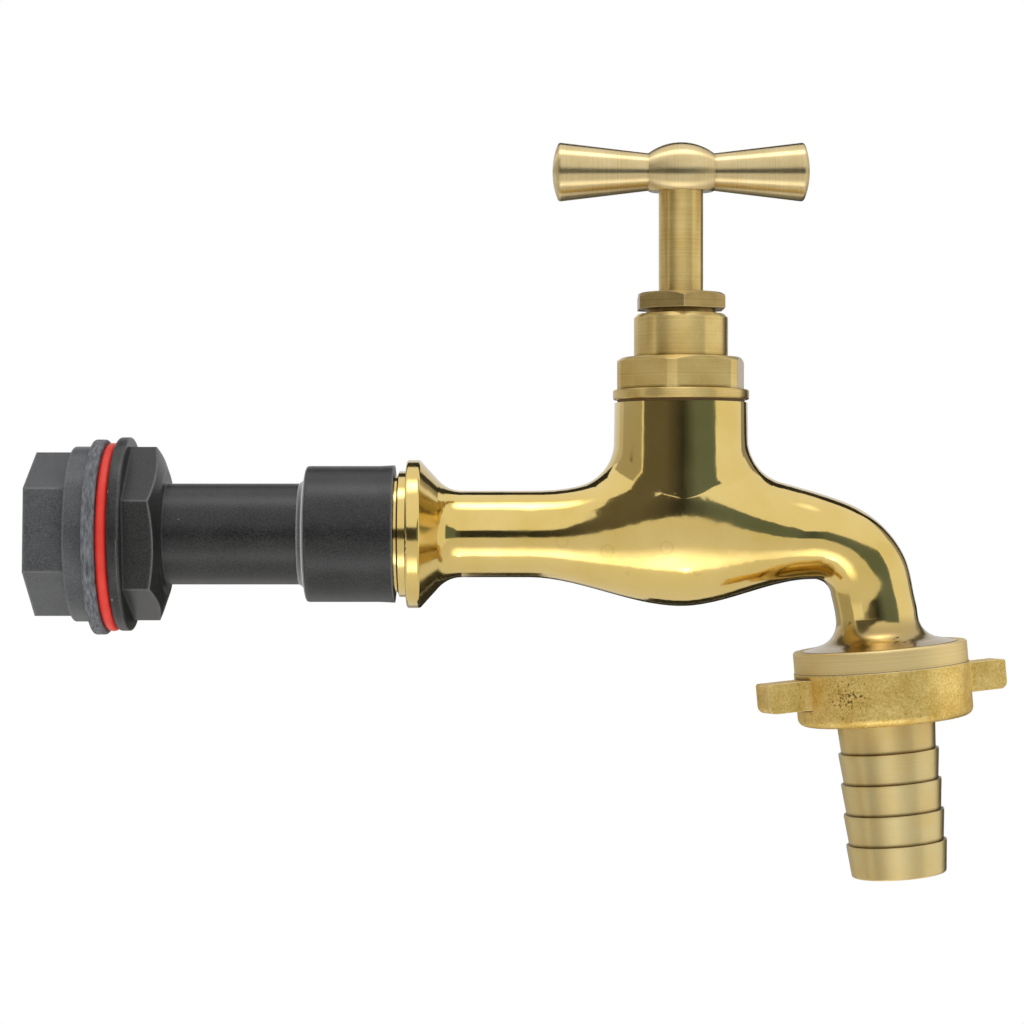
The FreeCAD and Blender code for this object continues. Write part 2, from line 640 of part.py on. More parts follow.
def inlet_end():
    """Turned tail, ring, collar and slope down to the neck."""
    body = new_body("inlet_end")
    thread = half("inlet_thread_dia")
    step = half("step_dia")
    ring = half("ring_dia")
    collar = half("collar_dia")
    neck = half("neck_dia")
    chamfer = size("turned_chamfer")
    tip = f"(0 - {size('inlet_tail_length')})"
    step_start = size("mouth_gap")
    step_end = total(step_start, size("step_width"))
    rim_start = total(step_end, size("ring_width"))
    rim_end = total(rim_start, size("collar_width"))
    slope_end = total(rim_end, size("collar_cone_length"))
    neck_start = total(slope_end, size("neck_run"))
    turn(body, "inlet_turning", [
        ("0", tip), (f"{thread} - {chamfer}", tip), (thread, f"{tip} + {chamfer}"),
        (thread, step_start), (step, step_start), (step, step_end),
        (ring, f"{step_end} + {size('ring_chamfer')}"), (ring, rim_start),
        (collar, rim_start, size("edge_round")), (collar, rim_end, size("moulded_round")),
        (neck, slope_end, size("collar_round")), (neck, neck_start), ("0", neck_start)])
    on_inlet_axis(body, MOUTH)
    return body


def outlet_end():
    """Flare under the spout and the threaded spigot that takes the union nut."""
    body = new_body("outlet_end")
    spout = half("outlet_neck_dia")
    flare = half("flare_dia")
    thread = half("union_thread_dia")
    start = f"(0 - {size('flare_height')} - {size('flare_run')})"
    hollow = f"(0 - {size('flare_height')})"
    under = f"({flare} - {thread})"
    end = size("union_spigot_length")
    chamfer = size("turned_chamfer")
    turn(body, "outlet_turning", [
        ("0", start), ("0", end), (f"{thread} - {chamfer}", end), (thread, f"{end} - {chamfer}"),
        (thread, under), (flare, "0"), (spout, hollow, size("flare_round")), (spout, start)])
    on_outlet_axis(body)
    return body


def chamber():
    """Bores that meet on the valve's axis: chamber, seat and lower chamber."""
    bore = total(half("bonnet_thread_dia"), size("thread_gap"))
    floor = f"({size('seat_height')} - {size('seat_lip_height')})"
    upper = primitive("Part::Cylinder", "upper_chamber", Radius=bore,
                      Height=f"{size('column_top')} - {floor} + {size('column_fillet')}")
    on_valve_axis(upper, floor)
    lip = primitive("Part::Cylinder", "seat_lip", Radius=half("seat_lip_dia"),
                    Height=size("seat_lip_height"))
    on_valve_axis(lip, floor)
    around_seat = doc.addObject("Part::Cut", "around_seat")
    around_seat.Base = upper
    around_seat.Tool = lip
    lower = primitive("Part::Cylinder", "seat_bore", Radius=half("seat_bore_dia"),
                      Height=f"{size('seat_height')} + {size('seat_chamber_drop')}")
    on_valve_axis(lower, f"0 - {size('seat_chamber_drop')}")
    return [around_seat, lower]


def inlet_bores():
    """Level bore through the tail and neck, then the bore that falls under the seat."""
    slope_x = f"({VALVE_X} - {size('sloping_bore_start')})"
    level = primitive("Part::Cylinder", "level_bore", Radius=half("inlet_bore_dia"),
                      Height=f"{slope_x} - {MOUTH} + {size('inlet_tail_length')}")
    on_inlet_axis(level, f"{MOUTH} - {size('inlet_tail_length')}")
    run = f"({size('sloping_bore_start')} - {half('seat_bore_dia')} / 2)"
    sloping = primitive("Part::Cylinder", "sloping_bore", Radius=half("sloping_bore_dia"),
                        Height=f"sqrt({run}^2 + {size('sloping_bore_drop')}^2)")
    stand(sloping, ACROSS, f"90 + atan({size('sloping_bore_drop')} / {run}) / 1 deg", slope_x, "0", "0")
    return [level, sloping]


def outlet_bores():
    """Bore of the spout: straight from the chamber, round the elbow, then up from the spigot."""
    radius = half("outlet_bore_dia")
    start_x = f"({ELBOW_X} + {size('elbow_radius')} * sin({size('outlet_bore_slope')}))"
    start_z = f"({ELBOW_Z} + {size('elbow_radius')} * cos({size('outlet_bore_slope')}))"
    run = f"(({start_x} - {VALVE_X} - {half('seat_bore_dia')} / 2) / cos({size('outlet_bore_slope')}))"
    slope = primitive("Part::Cylinder", "shoulder_bore", Radius=radius, Height=run)
    stand(slope, ACROSS, f"90 + {size('outlet_bore_slope')}",
          f"{start_x} - {run} * cos({size('outlet_bore_slope')})", "0",
          f"{start_z} + {run} * sin({size('outlet_bore_slope')})")
    bend = primitive("Part::Torus", "elbow_bore", Radius1=size("elbow_radius"), Radius2=radius,
                     Angle3=f"90 - {size('outlet_tilt')} - {size('outlet_bore_slope')}")
    # The ring is laid in the upright plane, its first section at the elbow's end
    lay_down = Rotation(Vector(1, 0, 0), 90)
    tilt = Rotation(ACROSS, -value(size("outlet_tilt")))
    bend.Placement = Placement(Vector(), tilt * lay_down)
    bend.setExpression("Placement.Base.x", ELBOW_X)
    bend.setExpression("Placement.Base.z", ELBOW_Z)
    spigot = size("union_spigot_length")
    rise = f"({ELBOW_END_Z} - {OUTLET_Z})"
    drop = primitive("Part::Cylinder", "outlet_bore", Radius=radius, Height=f"{rise} + {spigot}")
    stand(drop, ACROSS, f"(0 - {size('outlet_tilt')})",
          f"{OUTLET_X} + {spigot} * sin({size('outlet_tilt')})", "0",
          f"{OUTLET_Z} - {spigot} * cos({size('outlet_tilt')})")
    return [slope, bend, drop]


def tap_body():
    """Cast and turned brass body with its waterway and valve seat."""
    outside = doc.addObject("Part::MultiFuse", "tap_outside")
    outside.Shapes = [casting(), inlet_end(), outlet_end()]
    waterway = doc.addObject("Part::MultiFuse", "tap_waterway")
    waterway.Shapes = chamber() + inlet_bores() + outlet_bores()
    body = doc.addObject("Part::Cut", "tap_body")
    body.Label = "tap_body"
    body.Base = outside
    body.Tool = waterway
    doc.recompute()
    return body


def bonnet_washer():
    """Fibre washer between the column's rim and the bonnet."""
    hole = total(half("bonnet_thread_dia"), size("thread_gap"))
    body = flat_washer("bonnet_washer", "bonnet_washer_dia", hole, size("bonnet_washer_thick"),
                       size("running_gap"))
    on_valve_axis(body, size("column_top"))
    return body


def bonnet():
    """Turned head with a hexagon, the spindle's nut thread and the stuffing box."""
    body = new_body("bonnet")
    chamfer = size("turned_chamfer")
    nut_thread = total(half("spindle_thread_dia"), size("thread_gap"))
    tail = half("bonnet_thread_dia")
    flange = half("bonnet_flange_dia")
    neck = half("bonnet_neck_dia")
    box = total(half("gland_thread_dia"), size("thread_gap"))
    hole = total(half("spindle_dia"), size("running_gap"))
    tip = f"({BONNET_SEAT} - {size('bonnet_tail_length')} - {size('bonnet_washer_thick')})"
    web = f"({BOX_FLOOR} - {size('web_thick')})"
    turn(body, "head_turning", [
        (nut_thread, tip), (f"{tail} - {chamfer}", tip), (tail, f"{tip} + {chamfer}"),
        (tail, BONNET_SEAT), (flange, BONNET_SEAT, f"{chamfer} / 2"),
        (flange, HEX_FOOT, f"{chamfer} / 2"), (neck, HEX_FOOT),
        (neck, f"{NECK_TOP} - {chamfer}"), (f"{neck} - {chamfer}", NECK_TOP), (box, NECK_TOP),
        (box, BOX_FLOOR), (hole, BOX_FLOOR), (hole, web), (nut_thread, web)])
    hexagon(body, "grip", "bonnet_flats", f"(0 - 90 - {size('bonnet_turn')})", HEX_FOOT,
            size("bonnet_hex_height"))
    corner = half("bonnet_corner_dia")
    outside = f"({corner} + {size('bonnet_flange_thick')})"
    slope = f"({corner} - {half('bonnet_flats')} + {chamfer} / 4)"
    turn(body, "corner_turning", [
        (corner, HEX_FOOT), (outside, HEX_FOOT), (outside, HEX_TOP), (f"{corner} - {slope}", HEX_TOP),
        (corner, f"{HEX_TOP} - {slope} * tan(30)")], "PartDesign::Groove")
    turn(body, "stuffing_bore", [
        ("0", tip), (nut_thread, tip), (nut_thread, web), (hole, web), (hole, BOX_FLOOR),
        (box, BOX_FLOOR), (box, NECK_TOP), ("0", NECK_TOP)], "PartDesign::Groove")
    on_valve_axis(body, "0")
    return body


def gland_packing():
    """Ring of packing that the gland nut presses against the spindle."""
    body = new_body("gland_packing")
    hole = total(half("spindle_dia"), size("running_gap"))
    outside = half("gland_thread_dia")
    turn(body, "packing_ring", [
        (hole, BOX_FLOOR), (outside, BOX_FLOOR), (outside, GLAND_STEM_END), (hole, GLAND_STEM_END)])
    on_valve_axis(body, "0")
    return body


def gland_nut():
    """Hexagon nut whose threaded stem presses the packing down."""
    body = new_body("gland_nut")
    hole = total(half("spindle_dia"), size("running_gap"))
    stem = half("gland_thread_dia")
    flats = half("gland_flats")
    corner = f"{size('gland_flats')} / {ROOT_OF_THREE:.6f}"
    turn(body, "stem", [
        (hole, GLAND_STEM_END), (stem, GLAND_STEM_END), (stem, GLAND_TOP), (hole, GLAND_TOP)])
    hexagon(body, "grip", "gland_flats", "(0 - 90)", GLAND_HEAD, size("gland_head_height"))
    inner = f"({flats} - {size('turned_chamfer')} / 4)"
    outer = f"({corner} + {size('turned_chamfer')})"
    turn(body, "grip_chamfer", [
        (inner, GLAND_TOP), (outer, f"{GLAND_TOP} - ({outer} - {inner}) * tan(30)"),
        (outer, GLAND_TOP)], "PartDesign::Groove")
    turn(body, "spindle_hole", [
        ("0", GLAND_STEM_END), (hole, GLAND_STEM_END), (hole, GLAND_TOP), ("0", GLAND_TOP)],
        "PartDesign::Groove")
    on_valve_axis(body, "0")
    return body


def spindle():
    """Rising spindle: foot, lifting thread, plain stem and the tenon in the handle."""
    body = new_body("spindle")
    thread = half("spindle_thread_dia")
    foot = half("spindle_foot_dia")
    stem = half("spindle_dia")
    tenon = half("tenon_dia")
    socket = total(half("jumper_stem_dia"), size("running_gap"))
    thread_start = total(SPINDLE_FOOT, size("spindle_foot_length"))
    thread_end = total(thread_start, size("spindle_thread_length"))
    shoulder = f"({HANDLE_Z} - {size('boss_flat')})"
    top = total(HANDLE_Z, f"{half('tenon_dia')} / 2")
    socket_end = total(SPINDLE_FOOT, size("jumper_stem_length"), size("loose_gap"))
    turn(body, "turning", [
        (socket, SPINDLE_FOOT), (foot, SPINDLE_FOOT), (foot, thread_start), (thread, thread_start),
        (thread, f"{thread_end} - {thread} + {stem}"), (stem, thread_end), (stem, shoulder),
        (tenon, shoulder), (tenon, top), ("0", top), ("0", socket_end), (socket, socket_end)])
    on_valve_axis(body, "0")
    return body


def tee_handle():
    """Turned tee bar: a barrel boss and two arms that swell towards their tips."""
    body = new_body("tee_handle")
    tip = half("handle_length")
    arm = half("handle_end_dia")
    waist = half("handle_waist_dia")
    reach = half("boss_length")
    swell = f"({half('boss_dia')} - {waist})"
    barrel = f"(({swell})^2 + ({reach})^2) / (2 * {swell})"
    dome = size("handle_tip_dome")
    cap = f"({dome}^2 + ({arm})^2) / (2 * {dome})"
    left = f"(0 - {tip})"
    turn(body, "bar", [
        ("0", left), (arm, f"({left} + {dome})"), (waist, f"(0 - {reach})"),
        (waist, reach), (arm, f"({tip} - {dome})"), ("0", tip)], bulges={0: cap, 2: barrel, 4: cap})
    rims = [f"Edge{index}" for index, edge in enumerate(body.Shape.Edges, start=1)
            if edge.isClosed() and not edge.Degenerated
            and abs(edge.BoundBox.Center.z) > value(f"{tip} - 2 * {dome}")]
    round_off = body.newObject("PartDesign::Fillet", "tip_rims")
    round_off.Base = (body.getObject("bar"), rims)
    round_off.setExpression("Radius", size("handle_tip_round"))
    doc.recompute()
    # Own X points down, own Z along the bar
    under = size("boss_dia")
    side = half("boss_dia")
    sketch = new_sketch(body, "boss_flat_outline", "XY_Plane")
    draw_outline(sketch, [
        (size("boss_flat"), f"(0 - {side})"), (under, f"(0 - {side})"), (under, side),
        (size("boss_flat"), side)])
    flat = body.newObject("PartDesign::Pocket", "flat_under_boss")
    flat.Profile = sketch
    flat.SideType = "Symmetric"
    flat.setExpression("Length", size("boss_length"))
    doc.recompute()
    top = f"(0 - {half('tenon_dia')} / 2)"
    tenon = total(half("tenon_dia"), size("running_gap"))
    sketch = new_sketch(body, "tenon_hole_profile", "XY_Plane")
    draw_outline(sketch, [(top, "0"), (top, tenon), (under, tenon), (under, "0")])
    cut = body.newObject("PartDesign::Groove", "tenon_hole")
    cut.Profile = sketch
    cut.ReferenceAxis = (sketch, ["H_Axis"])
    cut.Angle = 360
    doc.recompute()
    stand(body, ACROSS, "90", VALVE_X, "0", HANDLE_Z)
    return body


def jumper():
    """Loose valve plate with a stem up into the spindle and a stud below."""
    body = new_body("jumper")
    plate = half("jumper_dia")
    stem = half("jumper_stem_dia")
    stud = half("jumper_stud_dia")
    stem_end = total(SPINDLE_FOOT, size("jumper_stem_length"))
    stud_end = f"({size('seat_height')} - {size('jumper_nut_height')})"
    turn(body, "turning", [
        ("0", stud_end), (stud, stud_end), (stud, PLATE_FOOT), (plate, PLATE_FOOT),
        (plate, SPINDLE_FOOT), (stem, SPINDLE_FOOT), (stem, stem_end), ("0", stem_end)])
    on_valve_axis(body, "0")
    return body


def jumper_washer():
    """Rubber washer that closes the seat."""
    hole = total(half("jumper_stud_dia"), size("thread_gap"))
    body = flat_washer("jumper_washer", "jumper_washer_dia", hole, size("jumper_washer_thick"),
                       size("edge_round"))
    on_valve_axis(body, size("seat_height"))
    return body


def jumper_nut():
    """Small nut that holds the rubber washer on the stud."""
    body = new_body("jumper_nut")
    foot = f"({size('seat_height')} - {size('jumper_nut_height')})"
    hole = total(half("jumper_stud_dia"), size("thread_gap"))
    hexagon(body, "grip", "jumper_nut_flats", "(0 - 90)", foot, size("jumper_nut_height"))
    turn(body, "thread_bore", [
        ("0", foot), (hole, foot), (hole, size("seat_height")), ("0", size("seat_height"))],
        "PartDesign::Groove")
    on_valve_axis(body, "0")
    return body


def union_nut():
    """Cast wing nut with a lathe-smoothed band and an inner lip that holds the hose tail."""
    body = new_body("union_nut")
    outside = half("union_nut_dia")
    band = f"({outside} - {size('turned_cut')})"
    height = size("union_nut_height")
    turn(body, "barrel", [
        ("0", "0"), (band, "0", size("edge_round")), (band, size("turned_band")),
        (outside, size("turned_band")), (outside, height, size("union_foot_round")), ("0", height)])
    draw_wings(body)
    thread = total(half("union_thread_dia"), size("thread_gap"))
    rim = half("union_rim_dia")
    hole = total(half("hose_dia"), size("loose_gap"))
    turn(body, "nut_bore", [
        ("0", "0"), (rim, "0"), (thread, size("union_rim_depth")), (thread, UNION_LIP),
        (hole, UNION_LIP), (hole, height), ("0", height)], "PartDesign::Groove")
    on_outlet_axis(body)
    return body


def draw_wings(body):
    """Both wings as one bar through the nut, with hollow roots and rounded lower corners."""
    sketch = new_sketch(body, "wings_outline", "XZ_Plane")
    lean = f"0 - {size('union_nut_turn')}"
    sketch.AttachmentOffset = Placement(Vector(), Rotation(ACROSS, value(lean)))
    sketch.setExpression("AttachmentOffset.Rotation.Angle", lean)
    far = half("wing_span")
    near = f"(0 - {far})"
    top = size("wing_top")
    foot = total(top, size("wing_height"))
    draw_outline(sketch, [
        (near, top, size("edge_round")), (far, top, size("edge_round")),
        (far, foot, size("wing_round")), (near, foot, size("wing_round"))])
    wings = body.newObject("PartDesign::Pad", "wings")
    wings.Profile = sketch
    wings.SideType = "Symmetric"
    wings.setExpression("Length", size("wing_width"))
    doc.recompute()
    hollow = body.newObject("PartDesign::Fillet", "wing_roots")
    hollow.Base = (wings, wing_root_edges(wings.Shape))
    hollow.setExpression("Radius", size("wing_root"))
    doc.recompute()


def wing_root_edges(shape):
    """Upright edges where the wings' sides meet the barrel."""
    outside = value(half("union_nut_dia"))
    names = []
    for index, edge in enumerate(shape.Edges, start=1):
        upright = edge.BoundBox.ZLength > value(half("wing_height"))
        middle = edge.valueAt((edge.FirstParameter + edge.LastParameter) / 2)
        on_barrel = abs(math.hypot(middle.x, middle.y) - outside) < value(size("turned_cut"))
        if upright and on_barrel and len(edge.Vertexes) == 2:
            names.append(f"Edge{index}")
    return names


def union_washer():
    """Rubber washer between the spigot and the hose tail's head."""
    body = new_body("union_washer")
    outside = f"({half('union_thread_dia')} - {size('loose_gap')})"
    hole = half("tail_bore_dia")
    start = size("union_spigot_length")
    end = total(start, size("union_washer_thick"))
    turn(body, "ring", [(hole, start), (outside, start), (outside, end), (hole, end)])
    on_outlet_axis(body)
    return body


def hose_tail():
    """Turned hose tail: a head behind the nut's lip and a row of saw-tooth barbs."""
    body = new_body("hose_tail")
    bore = half("tail_bore_dia")
    head = f"({half('union_thread_dia')} - {size('loose_gap')})"
    crest = half("hose_dia")
    root = half("barb_root_dia")
    start = total(size("union_spigot_length"), size("union_washer_thick"))
    shoulder = total(start, size("tail_head_thick"))
    profile = [(bore, start), (head, start), (head, shoulder), (crest, shoulder)]
    for barb in range(BARBS):
        step = f"({size('union_nut_height')} + {size('first_barb')} + {size('barb_pitch')} * {barb})"
        profile.append((root, step))
        profile.append((crest, step))
        profile.append((crest, f"{step} + {size('barb_land')}"))
    end = f"({size('union_nut_height')} + {size('first_barb')} + {size('barb_pitch')} * {BARBS - 1}" \
          f" + {size('tail_end')})"
    profile.append((root, end, size("edge_round")))
    profile.append((bore, end))
    turn(body, "tail_turning", profile)
    on_outlet_axis(body)
    return body


PIECES = [tank_backnut()] + tank_washers() + [
    tank_connector(), tap_body(), bonnet_washer(), bonnet(), gland_packing(), gland_nut(), spindle(),
    tee_handle(), jumper(), jumper_washer(), jumper_nut(), union_nut(), union_washer(), hose_tail()]
doc.recompute()

faults = [thing.Name for thing in doc.Objects if "Invalid" in thing.State or "Error" in thing.State]
for piece in PIECES:
    if piece.Shape.isNull() or not piece.Shape.isValid() or not piece.Shape.Solids:
        faults.append(piece.Label)
if faults:
    raise RuntimeError("these did not build: " + ", ".join(faults))

os.makedirs("parts", exist_ok=True)
for piece in PIECES:
    piece.Shape.exportStep(f"parts/{piece.Label}.step")
    print(piece.Label, len(piece.Shape.Solids), "solid", round(piece.Shape.Volume, 1), "mm3")
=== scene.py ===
import json
import math

import bpy
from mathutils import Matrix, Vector


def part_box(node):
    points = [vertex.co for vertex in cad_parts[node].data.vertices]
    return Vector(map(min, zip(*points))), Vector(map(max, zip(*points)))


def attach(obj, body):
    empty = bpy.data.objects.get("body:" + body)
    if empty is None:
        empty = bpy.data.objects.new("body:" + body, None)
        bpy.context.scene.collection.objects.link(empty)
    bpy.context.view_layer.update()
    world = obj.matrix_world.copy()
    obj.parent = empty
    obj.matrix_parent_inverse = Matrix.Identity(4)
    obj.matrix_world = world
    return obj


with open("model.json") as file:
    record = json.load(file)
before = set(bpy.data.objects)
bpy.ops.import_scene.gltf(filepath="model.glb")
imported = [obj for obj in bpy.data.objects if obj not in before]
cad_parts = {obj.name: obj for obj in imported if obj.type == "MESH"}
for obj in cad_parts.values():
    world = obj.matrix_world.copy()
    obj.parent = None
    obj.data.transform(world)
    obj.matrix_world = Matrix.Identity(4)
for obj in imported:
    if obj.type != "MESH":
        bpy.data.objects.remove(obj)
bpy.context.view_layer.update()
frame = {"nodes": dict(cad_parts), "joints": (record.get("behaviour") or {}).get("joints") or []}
nodes = frame["nodes"]
scene = bpy.context.scene
MM = 0.001

# The outlet's axis comes from the union nut's joint, and the collar from the connector's mouth
union_turn = next(joint for joint in frame["joints"] if joint["name"] == "union_nut_turn")
OUTLET_RIM = Vector(union_turn["pos_m"])
OUTLET_DOWN = Vector(union_turn["axis"])
SOCKET_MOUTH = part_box("tank_connector")[1][0]
COLLAR_END = SOCKET_MOUTH + 11.5 * MM
# Height of the band that is turned smooth under the union nut's rim
TURNED_BAND = 4.3 * MM
# Dried drops on the front of the belly: x, z and radius
DRIED_DROPS = ((90.5 * MM, -1.3 * MM, 1.2 * MM), (99.4 * MM, -3.3 * MM, 1.2 * MM),
               (110.9 * MM, -2.6 * MM, 1.2 * MM), (117.1 * MM, -7.2 * MM, 0.8 * MM),
               (103.4 * MM, -7.7 * MM, 0.3 * MM))
# Both threads are pipe threads of 14 turns to the inch
THREAD_PITCH = 1.814 * MM
# Both threads lie further from their axis than this, and both waterways nearer to it
THREAD_ROOT = 9.0 * MM
# The outlet's thread starts that far under the union nut's rim, and the spigot's at the red washer
THREAD_LEAD = 0.2 * MM
SPIGOT_THREAD_START = (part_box("red_sealing_washer")[0][0], 0.0, 0.0)
TOWARDS_TANK = Vector((-1.0, 0.0, 0.0))
# Middles of the casting pits on the flare, drawn as specks of painted shade, and of the patch on the union
# nut where the painted shade in the hollows is densest
PITS = (156.6 * MM, -11.0 * MM, -20.2 * MM)
SHADED_PATCH = (145.6 * MM, -15.5 * MM, -32.0 * MM)


def linear(hex_colour):
    """Turn an sRGB hex value into the linear colour that the shaders take."""
    channels = [int(hex_colour[i:i + 2], 16) / 255 for i in (1, 3, 5)]
    return tuple(c / 12.92 if c <= 0.04045 else ((c + 0.055) / 1.055) ** 2.4 for c in channels) + (1.0,)


def add(tree, kind, inputs=None, **settings):
    """Add a node, with its settings and with values or links for its inputs."""
    made = tree.nodes.new(kind)
    for name, value in settings.items():
        setattr(made, name, value)
    for socket, value in (inputs or {}).items():
        if isinstance(value, bpy.types.NodeSocket):
            tree.links.new(value, made.inputs[socket])
        else:
            made.inputs[socket].default_value = value
    return made


def new_material(name):
    """An empty material with its shader, its output and the object's own coordinates."""
    material = bpy.data.materials.new(name)
    material.use_nodes = True
    tree = material.node_tree
    tree.nodes.clear()
    shader = add(tree, "ShaderNodeBsdfPrincipled")
    add(tree, "ShaderNodeOutputMaterial", {"Surface": shader.outputs["BSDF"]})
    place = add(tree, "ShaderNodeTexCoord").outputs["Object"]
    return material, tree, shader, place


def per(millimetres):
    """Noise scale whose features are about that large."""
    return 1.0 / (millimetres * MM)


def outlet_run(tree, place):
    """Distance along the outlet's axis, from the union nut's rim downwards."""
    offset = add(tree, "ShaderNodeVectorMath", {0: place, 1: tuple(OUTLET_RIM)}, operation="SUBTRACT")
    run = add(tree, "ShaderNodeVectorMath", {0: offset.outputs["Vector"], 1: tuple(OUTLET_DOWN)},
              operation="DOT_PRODUCT")
    return run.outputs["Value"]


def edges_wear_and_corner_shade(tree, radius):
    """A normal that rounds sharp edges off, a factor that is 1 along outer edges, and one from ambient
    occlusion that is 1 in corners, for painted shade.
    """
    rounded = add(tree, "ShaderNodeBevel", {"Radius": radius}, samples=6).outputs["Normal"]
    flat = add(tree, "ShaderNodeNewGeometry").outputs["Normal"]
    agree = add(tree, "ShaderNodeVectorMath", {0: rounded, 1: flat}, operation="DOT_PRODUCT")
    bend = add(tree, "ShaderNodeMapRange", {
        "Value": agree.outputs["Value"], "From Min": 0.995, "From Max": 0.87})
    # Ambient occlusion marks the corners, which the finishes darken with painted shade
    room = add(tree, "ShaderNodeAmbientOcclusion", {"Distance": 3 * radius}, samples=6, only_local=True)
    corner = add(tree, "ShaderNodeMapRange", {
        "Value": room.outputs["AO"], "From Min": 0.92, "From Max": 0.6}).outputs["Result"]
    edge = add(tree, "ShaderNodeMath", {0: bend.outputs["Result"], 1: corner},
               operation="SUBTRACT", use_clamp=True)
    return rounded, edge.outputs["Value"], corner


def polished_cast_brass():
    """Cast brass buffed by hand and lacquered: a mirror that is never quite flat, with fine hairs,
    a faint haze and dried drops. The collar keeps the lathe's marks, and the flare, which the
    buffing wheel hardly reached, is satin with some casting pits, drawn as dark specks of painted shade."""
    material, tree, shader, place = new_material("Polished and lacquered cast brass")
    parts = add(tree, "ShaderNodeSeparateXYZ", {"Vector": place})
    across = parts.outputs["X"]
    collar = add(tree, "ShaderNodeMapRange", {
        "Value": across, "From Min": COLLAR_END - 1.0 * MM, "From Max": COLLAR_END + 1.0 * MM,
        "To Min": 1.0, "To Max": 0.0}, interpolation_type="SMOOTHSTEP").outputs["Result"]
    flare = add(tree, "ShaderNodeMapRange", {
        "Value": outlet_run(tree, place), "From Min": -6.5 * MM, "From Max": -3.0 * MM,
        "To Min": 0.0, "To Max": 0.8}, interpolation_type="SMOOTHSTEP").outputs["Result"]
    satin = add(tree, "ShaderNodeMath", {0: collar, 1: 0.15, 2: flare}, operation="MULTIPLY_ADD")

    flat = add(tree, "ShaderNodeVectorMath", {0: place, 1: (1.0, 0.0, 1.0)}, operation="MULTIPLY")
    front = add(tree, "ShaderNodeMath", {0: parts.outputs["Y"], 1: 0.0}, operation="LESS_THAN")
    drops = 0.0
    for x, z, radius in DRIED_DROPS:
        away = add(tree, "ShaderNodeVectorMath", {0: flat.outputs["Vector"], 1: (x, 0.0, z)},
                   operation="DISTANCE")
        rim = add(tree, "ShaderNodeMath", {0: away.outputs["Value"], 1: radius, 2: 0.17 * MM},
                  operation="COMPARE")
        drops = add(tree, "ShaderNodeMath", {0: drops, 1: rim.outputs["Value"]}, operation="MAXIMUM")
        drops = drops.outputs["Value"]
    drops = add(tree, "ShaderNodeMath", {0: drops, 1: front.outputs["Value"]}, operation="MULTIPLY")
    drops = drops.outputs["Value"]

    tone = add(tree, "ShaderNodeTexNoise", {"Vector": place, "Scale": per(9.0), "Detail": 3.0})
    gold = add(tree, "ShaderNodeMix", {
        "Factor": tone.outputs["Fac"], "A": linear("#D5B559"), "B": linear("#E8CE88")}, data_type="RGBA")
    dull = add(tree, "ShaderNodeMix", {
        "Factor": flare, "A": gold.outputs["Result"], "B": linear("#A8905A")}, data_type="RGBA")
    stain = add(tree, "ShaderNodeMath", {0: drops, 1: 0.18}, operation="MULTIPLY")
    stained = add(tree, "ShaderNodeMix", {
        "Factor": stain.outputs["Value"], "A": dull.outputs["Result"], "B": linear("#B98A3C")},
        data_type="RGBA")
    # The casting pits are dark specks of painted shade
    near_pits = add(tree, "ShaderNodeVectorMath", {0: place, 1: PITS}, operation="DISTANCE")
    pitted = add(tree, "ShaderNodeMapRange", {
        "Value": near_pits.outputs["Value"], "From Min": 1.5 * MM, "From Max": 3.0 * MM,
        "To Min": 0.6, "To Max": 1.0})
    specks = add(tree, "ShaderNodeTexNoise", {"Vector": place, "Scale": per(0.9), "Detail": 2.0})
    pits = add(tree, "ShaderNodeMath", {0: specks.outputs["Fac"], 1: pitted.outputs["Result"]},
               operation="GREATER_THAN")
    colour = add(tree, "ShaderNodeMix", {
        "Factor": pits.outputs["Value"], "A": stained.outputs["Result"], "B": linear("#3A2F1A")},
        data_type="RGBA")
    tree.links.new(colour.outputs["Result"], shader.inputs["Base Color"])
    shader.inputs["Metallic"].default_value = 1.0

    # The hairs of the buffing wheel are drawn coarser than they are so that they show
    hairs = add(tree, "ShaderNodeMapping", {"Vector": place, "Scale": (per(0.35), per(1.2), per(7.0))})
    hair = add(tree, "ShaderNodeTexNoise", {"Vector": hairs.outputs["Vector"], "Scale": 1.0, "Detail": 4.0})
    haze = add(tree, "ShaderNodeTexNoise", {"Vector": place, "Scale": per(14.0), "Detail": 5.0})
    cloud = add(tree, "ShaderNodeMapRange", {
        "Value": haze.outputs["Fac"], "From Min": 0.42, "From Max": 0.68, "To Min": 0.0, "To Max": 0.06})
    gloss = add(tree, "ShaderNodeMapRange", {
        "Value": hair.outputs["Fac"], "From Min": 0.3, "From Max": 0.75, "To Min": 0.06, "To Max": 0.11})
    hazy = add(tree, "ShaderNodeMath", {0: gloss.outputs["Result"], 1: cloud.outputs["Result"]},
               operation="ADD")
    rough = add(tree, "ShaderNodeMix", {
        "Factor": satin.outputs["Value"], "A": hazy.outputs["Value"], "B": 0.30})
    tree.links.new(rough.outputs["Result"], shader.inputs["Roughness"])
    shader.inputs["Coat Weight"].default_value = 0.5
    shader.inputs["Coat Roughness"].default_value = 0.08

    buffed = add(tree, "ShaderNodeTexNoise", {"Vector": place, "Scale": per(7.0), "Detail": 2.0})
    wavy = add(tree, "ShaderNodeBump", {
        "Height": buffed.outputs["Fac"], "Strength": 1.0, "Distance": 0.06 * MM})
    # The lathe's rings on the collar are drawn coarser than the tool's feed so that they show
    rings = add(tree, "ShaderNodeTexNoise", {
        "W": across, "Scale": per(0.3), "Detail": 4.0}, noise_dimensions="1D")
    cut = add(tree, "ShaderNodeMix", {
        "Factor": collar, "A": hair.outputs["Fac"], "B": rings.outputs["Fac"]})
    scratched = add(tree, "ShaderNodeBump", {
        "Height": cut.outputs["Result"], "Strength": 1.0, "Distance": 0.003 * MM,
        "Normal": wavy.outputs["Normal"]})
    tree.links.new(scratched.outputs["Normal"], shader.inputs["Normal"])
    return material


